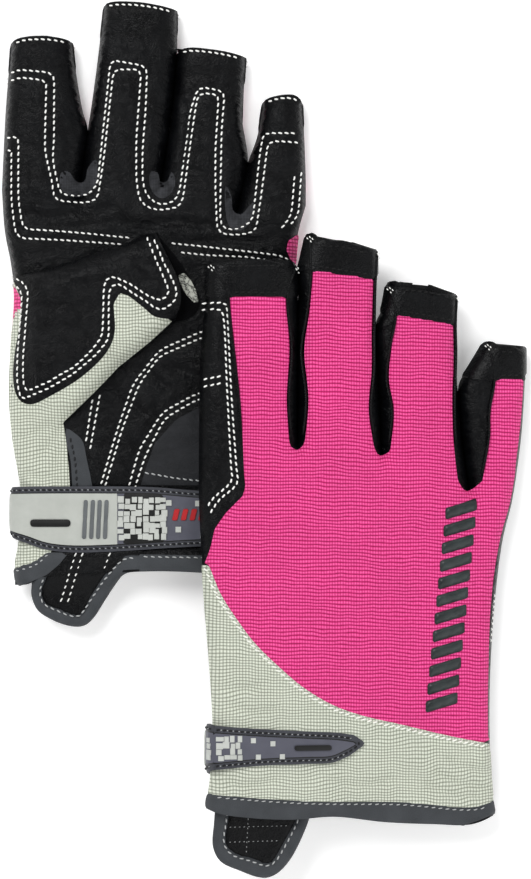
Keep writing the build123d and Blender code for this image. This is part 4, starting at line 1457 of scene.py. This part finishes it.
def thumb_pieces(glove):
    """The thumb stall with its fabric, which carries on down the wrist beside the slit, and its patch."""
    corners = ([(-29.5, 49), (14.5, 87.5), (-1.5, 109.5), (-47.2, 96)] if glove.palm_up
               else [(-24.5, 30.5), (8.5, 57), (-5, 80), (-47.2, 66)])
    thumb = Thumb(glove, corners)
    thumb.shell()
    top = thumb.move([(-45.5, 95)])[0][1]
    radial = glove.radial[(glove.radial[:, 1] > 1.8) & (glove.radial[:, 1] < top)]
    if glove.palm_up:
        lower = THUMB_PALE + [(-27.5, 14), (-31.5, 8.0), (-35.4, 6.4), (-38.7, 3.6), (-44.4, 1.8)]
    else:
        lower = [tuple(p) for p in thumb.move(THUMB_PALE[:6])]
        lower += [(-26, 22), (-27.5, 14), (-30.5, 6.5), (-36, 6)]
    moved = thumb.move(THUMB_PATCH)
    ring = np.vstack([np.array(lower), radial, moved])
    thumb.panel("thumb_fabric", resample(ring, 1.2, True), 0.42, PALE, "cuff_fabric", ["thumb_gusset"])
    patch_back = thumb.move([(3.2, 82.4), (6.4, 82.6), (8.0, 87), (7.8, 93), (4, 102), (0.4, 109.6),
                             (-12, 105.8), (-24, 101.8), (-36, 98), (-45.5, 95)])
    outline = np.vstack([smooth(moved, 1.2), smooth(patch_back, 1.2)])
    thumb.panel("thumb_patch", resample(outline, 1.2, True), 0.8, LEATHER, "palm_leather")
    pink = resample(thumb.move(THUMB_PINK), 1.0, True)
    thumb.panel("thumb_pink", pink, 0.6, PINK, "stretch_fabric")
    label = resample(thumb.move(THUMB_LABEL), 0.8, True)
    thumb.panel("thumb_label", label, 0.3, LABEL, "cuff_fabric", share=0.0)
    rows = [rounded(thumb.move(row), 2.2, 0.7) for row in THUMB_ROWS]
    stitches = [s for row in rows for s in stitch_row(row)]
    verts, faces, flats = stitch_meshes(stitches, thumb.surface(0.8), lift=0.05)
    thumb.blend(glove.mesh("thumb_stitches", verts, faces, flats, WHITE_THREAD), "palm_leather")
    squeeze, shift = ((1, 1), (0, 0)) if glove.palm_up else ((1, 0.6), (3.5, 2))
    binding = resample(smooth(np.array(SLIT_BINDING) * squeeze + shift, 1.0, True), 1.0, True)
    split_panel(glove, "slit_binding", "palm", binding, 0.7, BINDING, "binding_tape", roll=1.0)
    sew(glove, "slit_stitches", face_surface(glove, "palm", 0.7),
        [smooth(np.array(SLIT_ROW) * squeeze + shift, 0.8)], DARK_THREAD, lift=0.05, width=0.5, rise=0.22)


def square(place, x, y, half=0.95):
    u = place(x)
    return [(u - half, y - half), (u + half, y - half), (u + half, y + half), (u - half, y + half)]


def mosaic(place, start, columns, low, rows, seed=11):
    """Small squares, close together and of uneven size, on the strap."""
    draw = random.Random(seed)
    squares = []
    step = 1.95
    for column in range(columns):
        for row in range(rows):
            x = start + column * step + draw.uniform(-0.35, 0.35)
            y = low + row * step + draw.uniform(-0.35, 0.35)
            half, wide = draw.uniform(0.72, 1.1), draw.uniform(0.72, 1.1)
            if draw.random() > 0.95:
                continue
            u = place(x)
            squares.append([(u - wide, y - half), (u + wide, y - half), (u + wide, y + half),
                            (u - wide, y + half)])
    return squares


def scatter(seed, count, across, bands, apart=2.6):
    """Places for single squares, drawn at random in turn from bands of heights, each clear of the others."""
    draw = random.Random(seed)
    places = []
    while len(places) < count:
        spot = (draw.uniform(*across), draw.uniform(*bands[len(places) % len(bands)]))
        if all(math.dist(spot, other) > apart for other in places):
            places.append(spot)
    return places


def straight_rib(place, start, end, low, width):
    """The outline of a plain straight rib with rounded ends."""
    a, b = sorted((place(start), place(end)))
    return rounded([(a, low), (b, low), (b, low + width), (a, low + width)], width / 2, 0.6, True)


def strap_pieces(glove):
    """The wrist strap: binding body, moulded face, its marks and stitches, and the hook and loop pads."""
    strap = Strap(glove)
    pu, bu, fold = strap.palm, strap.back, strap.fold
    if glove.palm_up:
        top = [(pu(26), 27), (pu(14.5), 27.2), (pu(-1.5), 28.4), (pu(-17.5), 28.6), (pu(-43), 28.5)]
        bottom = [(pu(26), 9.8), (pu(8), 9), (pu(-14.5), 7.6), (pu(-27.5), 7.4), (pu(-35.5), 8.4),
                  (pu(-42), 10.6)]
        raised = 0.0
    else:
        top = [(pu(30), 26.5), (pu(14.5), 26.8), (pu(-17.5), 27.8), (pu(-43), 28.8)]
        bottom = [(pu(30), 9.8), (pu(8), 9), (pu(-14.5), 7.8), (pu(-35.5), 8.8), (pu(-42), 12.0)]
        raised = 1.4
    top += [(0, 28.2 + raised), (bu(-32.5), 26.9 + raised), (bu(-16), 25.9 + raised),
            (bu(-5.5), 25.3 + raised), (bu(0), 24.5 + raised)]
    bottom += [(0, 13.0 + raised), (bu(-32.5), 15.0 + raised), (bu(-16), 15.5 + raised),
               (bu(-7), 15.8 + raised), (bu(-1.5), 18.0 + raised)]
    top_line, low_line = smooth(top, 1.0), smooth(bottom, 1.0)
    tip_point = (bu(3.9), 21.8 + raised)

    def part(line, flap):
        return line[line[:, 0] > fold] if flap else line[line[:, 0] <= fold]

    def band(low, high, tip, flap):
        """The outline between two lines, closed by a blunt point on the flap's side."""
        low, high = part(low, flap), part(high, flap)
        if not flap:
            seam = [(fold, low[-1][1]), (fold, high[-1][1])]
            return np.vstack([low[:-1], seam, high[::-1][1:]])
        nose = rounded([tuple(low[-1]), tip, tuple(high[-1])], 1.2)
        return np.vstack([[(fold, low[0][1])], low[1:], nose[1:-1], high[::-1][:-1], [(fold, high[0][1])]])

    for flap in (False, True):
        strap.panel("strap_tip" if flap else "strap_wrap",
                    resample(band(low_line, top_line, tip_point, flap), 1.1, True), 0.6, STRAP,
                    "binding_tape", ["strap_flap"] if flap else ["strap_base"], thick=1.3, flap=flap)
    rows = [side_line(low_line, 1.15), side_line(top_line, -1.15)]
    nose_row = rounded([tuple(rows[0][-1]), (tip_point[0] - 1.7, tip_point[1]), tuple(rows[1][-1])], 1.0)
    strap.sew("strap_stitches", [part(r, False) for r in rows], DARK_THREAD, 0.6)
    strap.sew("tip_stitches", [part(r, True) for r in rows] + [nose_row], DARK_THREAD, 0.6, flap=True)
    # Short light grey flecks between the dark stitches: painted highlights of the twisted thread, made as
    # thread
    for flap in (False, True):
        strap.sew(f"strap_flecks_{int(flap)}", [part(r, flap) for r in rows], GREY_THREAD, 0.6, flap,
                  width=0.26, rise=0.16, length=0.5, start=1.6)

    # The moulded face: a dark rim, pale rubber towards the thumb edge, and slate rubber on both sides of it
    def face(line_offset, start, end, flap):
        low, high = side_line(low_line, line_offset), side_line(top_line, -line_offset)
        low, high = (l[(l[:, 0] >= start) & (l[:, 0] <= end)] for l in (low, high))
        return band(low, high, (tip_point[0] - line_offset * 1.35, tip_point[1]), flap)

    dense_start, dense_end = -11.6, 3.0
    for flap in (False, True):
        end = bu(1.2)
        strap.panel(f"strap_rim_{int(flap)}", resample(face(1.95, pu(30), end, flap), 1.1, True), 0.8,
                    STRAP_DARK, "strap_print", thick=0.7, flap=flap, roll=0.3, drop=0.1)
        strap.panel(f"strap_slate_{int(flap)}", resample(face(2.3, pu(30), end, flap), 1.1, True), 0.95,
                    STRAP_SLATE, "strap_print", ["strap_face"] if not flap else (), thick=0.8, flap=flap,
                    roll=0.3, drop=0.12)
    low, high = side_line(low_line, 2.3), side_line(top_line, -2.3)
    low, high = (l[(l[:, 0] >= pu(dense_start)) & (l[:, 0] <= 0)] for l in (low, high))
    strap.panel("strap_pale", resample(np.vstack([low, high[::-1]]), 1.1, True), 1.12, STRAP_PALE,
                "strap_print", thick=0.8, roll=0.3, drop=0.12)
    low, high = side_line(low_line, 2.3), side_line(top_line, -2.3)
    low, high = (l[(l[:, 0] >= pu(dense_end)) & (l[:, 0] <= pu(dense_start + 0.8))] for l in (low, high))
    strap.panel("strap_dark", resample(np.vstack([low, high[::-1]]), 1.1, True), 1.06, STRAP_DARK,
                "strap_print", thick=0.8, roll=0.3, drop=0.12)
    bars = [rounded([(pu(x) - 0.68, 11.6), (pu(x) + 0.68, 11.6), (pu(x + 0.6) + 0.68, 24.3),
                     (pu(x + 0.6) - 0.68, 24.3)],
                    0.6, 0.4, True) for x in (-22.7, -20.4, -18.2, -16.0)]
    strap.tiles("strap_bars", bars, 1.0, 1.5, STRAP_GREY, "strap_print", 0.25)
    strap.panel("strap_rib", straight_rib(pu, -40.0, -27.0, 15.6, 2.4), 1.5, STRAP_DARK, "strap_print",
                thick=0.8, spacing=0.8, roll=0.4, drop=0.1)
    squares = mosaic(pu, dense_start + 0.9, 8, 10.4, 8)
    squares = [q for q in squares if (q[0][1] > np.interp(q[0][0], low[:, 0], low[:, 1]) - 0.3
                                      and q[2][1] < np.interp(q[0][0], high[:, 0], high[:, 1]) + 0.3)]
    squares += [square(pu, x, y) for x, y in scatter(21, 8, (4.5, 23.5), [(12.8, 15.6), (23.0, 23.8)])]
    strap.tiles("strap_mosaic", squares, 0.9, 1.42, SQUARE, "strap_print", 0.12)
    slashes = [[(pu(x) - 1.1, 17.6), (pu(x) + 0.7, 17.6), (pu(x + 0.9) + 0.7, 21.4),
                (pu(x + 0.9) - 1.1, 21.4)]
               for x in (6.2, 9.0, 11.8, 14.6, 17.4)]
    strap.tiles("strap_slashes", [rounded(q, 0.5, 0.5, True) for q in slashes], 0.9, 1.4, STRAP_RED,
                "strap_print")

    cluster = mosaic(lambda u: u, bu(-37.4) - 5 * 1.95, 6, 17.8 + raised, 4, 5)
    wrapped = [q for q in cluster if q[1][0] < fold]
    tip_squares = [q for q in cluster if q[0][0] > fold]
    tip_squares += [square(bu, x, y + raised, 0.85) for x,
                    y in scatter(22, 4, (-33, -23), [(17.8, 19.2), (21.6, 23.2)])]
    strap.tiles("fold_mosaic", wrapped, 0.8, 1.2, SQUARE, "strap_print", 0.12)
    strap.tiles("tip_mosaic", tip_squares, 0.8, 1.2, SQUARE, "strap_print", 0.12, flap=True)
    strap.panel("tip_rib", straight_rib(bu, -19.5, -7.5, 19.8 + raised, 1.7), 1.5, STRAP_DARK, "strap_print",
                thick=0.8, spacing=0.8, roll=0.3, drop=0.1, flap=True)

    for name, node, flap, lift in (("loop", "loop_pad", False, -1.75), ("hook", "hook_pad", True, -1.2)):
        pad = resample([(bu(-36), 17.2), (bu(-3), 17.2), (bu(-3), 23.6), (bu(-36), 24.6)], 1.1, True)
        strap.panel(f"{name}_pile", pad, lift, PILE, "hook_loop", [node], thick=0.5, flap=flap)


def tab_pieces(glove):
    """The pull tab: a flat tongue with a rounded binding and two rows of stitches."""
    if glove.palm_up:
        outer = [(-39.4, 1), (-39.7, -2.8), (-39.9, -6.5), (-37.9, -11.3), (-33.9, -14.1), (-29, -16.1),
                 (-25, -16.7), (-22.3, -16.1), (-19.7, -13.7), (-16.1, -8.1), (-12.9, -3.2), (-9.7, 0.4),
                 (-4.8, 1.2), (-3, 1.2)]
        inner = [(-34.2, 1), (-34.7, -0.8), (-36.3, -5.6), (-35.2, -8.9), (-31.5, -10.5), (-25.8, -12.5),
                 (-23.4, -12.1), (-21.6, -7.6), (-17.7, -1.6), (-12.9, 4), (-9.7, 6.6), (-5, 6.8), (-3, 6.8)]
        rows = [[(-23, 7.6), (-28.4, -9.6)], [(-25.2, 7.6), (-30.6, -9.2)], [(-14.2, 7.6), (-16.8, 0.6)]]
    else:
        outer = [(-43.6, 6), (-44.2, -2), (-44.5, -10), (-42, -14.7), (-36, -17.6), (-30.5, -19.7),
                 (-27.2, -20.1), (-23.5, -18.6), (-19.5, -14.4), (-15.3, -6.4), (-10.8, 6)]
        inner = [(-38.8, 6), (-39.4, -1.4), (-40.2, -8.3), (-37.8, -11.6), (-32, -13.4), (-26.4, -15.0),
                 (-21.6, -8.2), (-18.1, -1.2), (-15.4, 6)]
        rows = [[(-33.2, 1), (-33.8, -12)], [(-39.6, -3.6), (-20.6, -3.4)], [(-39.6, -8.4), (-22.8, -8.2)]]
    outer, inner = smooth(outer, 1.0), smooth(inner, 1.0)

    def height(pts):
        """The left tab carries on from the palm and drops away; the right one comes out of the wrist."""
        reach, below = (8, 7) if glove.palm_up else (16, 14)
        rise = ease(np.clip((pts[:, 1] + below) / reach, 0, 1))
        bend = np.array([0.6 * noise.noise(Vector((x * 0.06, y * 0.07, 8.8))) for x, y in pts]) * (1 - rise)
        return (3.0 - 3.6 * rise if glove.palm_up else 3.2 + 0.5 * rise) + bend

    def surface(extra):
        sign = -1.0 if glove.palm_up else 1.0
        return lambda p: (np.column_stack([p, height(p) + sign * extra]),
                          np.tile((0.0, 0.0, sign), (len(p), 1)))

    def tab_blend(obj, slot, nodes=()):
        x = (outer[0][0] + outer[-1][0]) / 2
        glove.join(obj, "tab", slot, nodes, [(x, 1.5, 3.4), (x, -3.5, 3.4)])

    def piece(name, outline, half, material, slot, nodes=(), roll=0.8):
        outline = resample(outline, 1.0, True)
        flat, tris = cut_sheet(outline)
        d = distance(flat, [looped(outline)])[0]
        lift = half * quarter_round(d, roll, 0.02)
        verts = np.column_stack([flat, height(flat)])
        normals = vertex_normals(verts, tris)
        solid, faces, _, _ = thicken(verts, tris, normals, lift, lift)
        tab_blend(glove.mesh(name, solid, faces, np.vstack([flat, flat]), material), slot, nodes)

    top = 8.6 if glove.palm_up else 7.0
    piece("tab_web", np.vstack([side_line(inner, -1.0), [(inner[-1][0], top), (inner[0][0], top)]]), 0.6,
          SMOOTH_LEATHER, "palm_leather", ["pull_tab"])
    piece("tab_binding", np.vstack([outer, inner[::-1]]), 1.15, BINDING, "binding_tape",
          ["pull_tab_binding"], 1.4)
    middle = (outer[2:-2][np.linspace(0, len(outer) - 5, 60).astype(int)] * 0.22
              + inner[2:-2][np.linspace(0, len(inner) - 5, 60).astype(int)] * 0.78)
    for name, lines, material, extra in (("tab_stitches", [middle], GREY_THREAD, 1.15),
                                         ("tab_rows", [resample(r, 0.8) for r in rows],
                                          WHITE_THREAD if glove.palm_up else GREY_THREAD, 0.7)):
        faint = name == "tab_rows" and not glove.palm_up
        stitches = [s for line in lines for s in stitch_row(line, 1.5 if faint else 2.2,
                                                            0.55 if faint else 1.4)]
        verts, faces, flats = stitch_meshes(stitches, surface(extra), 0.2 if faint else 0.44,
                                            0.1 if faint else 0.22, 0.03)
        tab_blend(glove.mesh(name, verts, faces, flats, material), "binding_tape")


gloves = {shape["side"]: Glove(shape) for shape in (LEFT, RIGHT)}
for one in gloves.values():
    one.layout = Layout(one)
for one in gloves.values():
    build_glove(one, gloves["left"], gloves["right"])


# ---------------------------------------------------------------- floor, light and camera

def build_floor():
    n = Nodes("paper_floor", roughness=0.85)
    position = n.add("NewGeometry").outputs["Position"]
    cloud = n.noise(position, 3.0, 2.0)
    n.colour(n.ramp(cloud, [(0.0, rgb(250, 250, 250)), (1.0, rgb(255, 255, 255))]))
    n.shader.inputs["Emission Color"].default_value = (1, 1, 1, 1)
    n.shader.inputs["Emission Strength"].default_value = 0.25
    mesh = bpy.data.meshes.new("floor")
    mesh.from_pydata([(-3, -3, 0), (3, -3, 0), (3, 3, 0), (-3, 3, 0)], [], [(0, 1, 2, 3)])
    mesh.materials.append(n.material)
    floor = bpy.data.objects.new("floor", mesh)
    bpy.context.scene.collection.objects.link(floor)


def area_light(name, place, aim, size, power):
    data = bpy.data.lights.new(name, "AREA")
    data.shape = "DISK"
    data.size = size
    data.energy = power
    light = bpy.data.objects.new(name, data)
    light.location = place
    light.rotation_euler = (Vector(aim) - Vector(place)).to_track_quat("-Z", "Y").to_euler()
    bpy.context.scene.collection.objects.link(light)


build_floor()
area_light("key", (-0.55, 0.75, 1.3), (0, 0, 0), 0.8, 15.0)
area_light("fill", (0.9, -0.3, 1.2), (0, 0, 0), 1.2, 6.0)
area_light("low", (0.1, -1.0, 1.1), (0, 0, 0), 1.4, 5.0)
world = bpy.data.worlds.new("studio")
world.use_nodes = True
# A light tent: bright walls and a darker roof
tent = world.node_tree
direction = tent.nodes.new("ShaderNodeTexCoord")
split = tent.nodes.new("ShaderNodeSeparateXYZ")
walls = tent.nodes.new("ShaderNodeMapRange")
for name, value in (("From Min", 0.97), ("From Max", 0.6), ("To Min", 0.08), ("To Max", 0.66)):
    walls.inputs[name].default_value = value
tent.links.new(direction.outputs["Generated"], split.inputs[0])
tent.links.new(split.outputs["Z"], walls.inputs["Value"])
tent.links.new(walls.outputs["Result"], tent.nodes["Background"].inputs["Strength"])
tent.nodes["Background"].inputs["Color"].default_value = (1, 1, 1, 1)
bpy.context.scene.world = world
bpy.context.scene.view_settings.view_transform = "Standard"

VIEW_HEIGHT = 0.2835
LENS, SENSOR = 150.0, 36.0
data = bpy.data.cameras.new("camera")
data.lens = LENS
data.sensor_fit = "VERTICAL"
data.sensor_height = SENSOR
camera = bpy.data.objects.new("camera", data)
aim = gloves["left"].origin + np.array([0.03565, 0.04371, 0.0])
camera.location = (aim[0], aim[1], 0.010 + VIEW_HEIGHT / SENSOR * LENS)
camera.rotation_euler = (0.0, 0.0, 0.0)
bpy.context.scene.collection.objects.link(camera)
bpy.context.scene.camera = camera
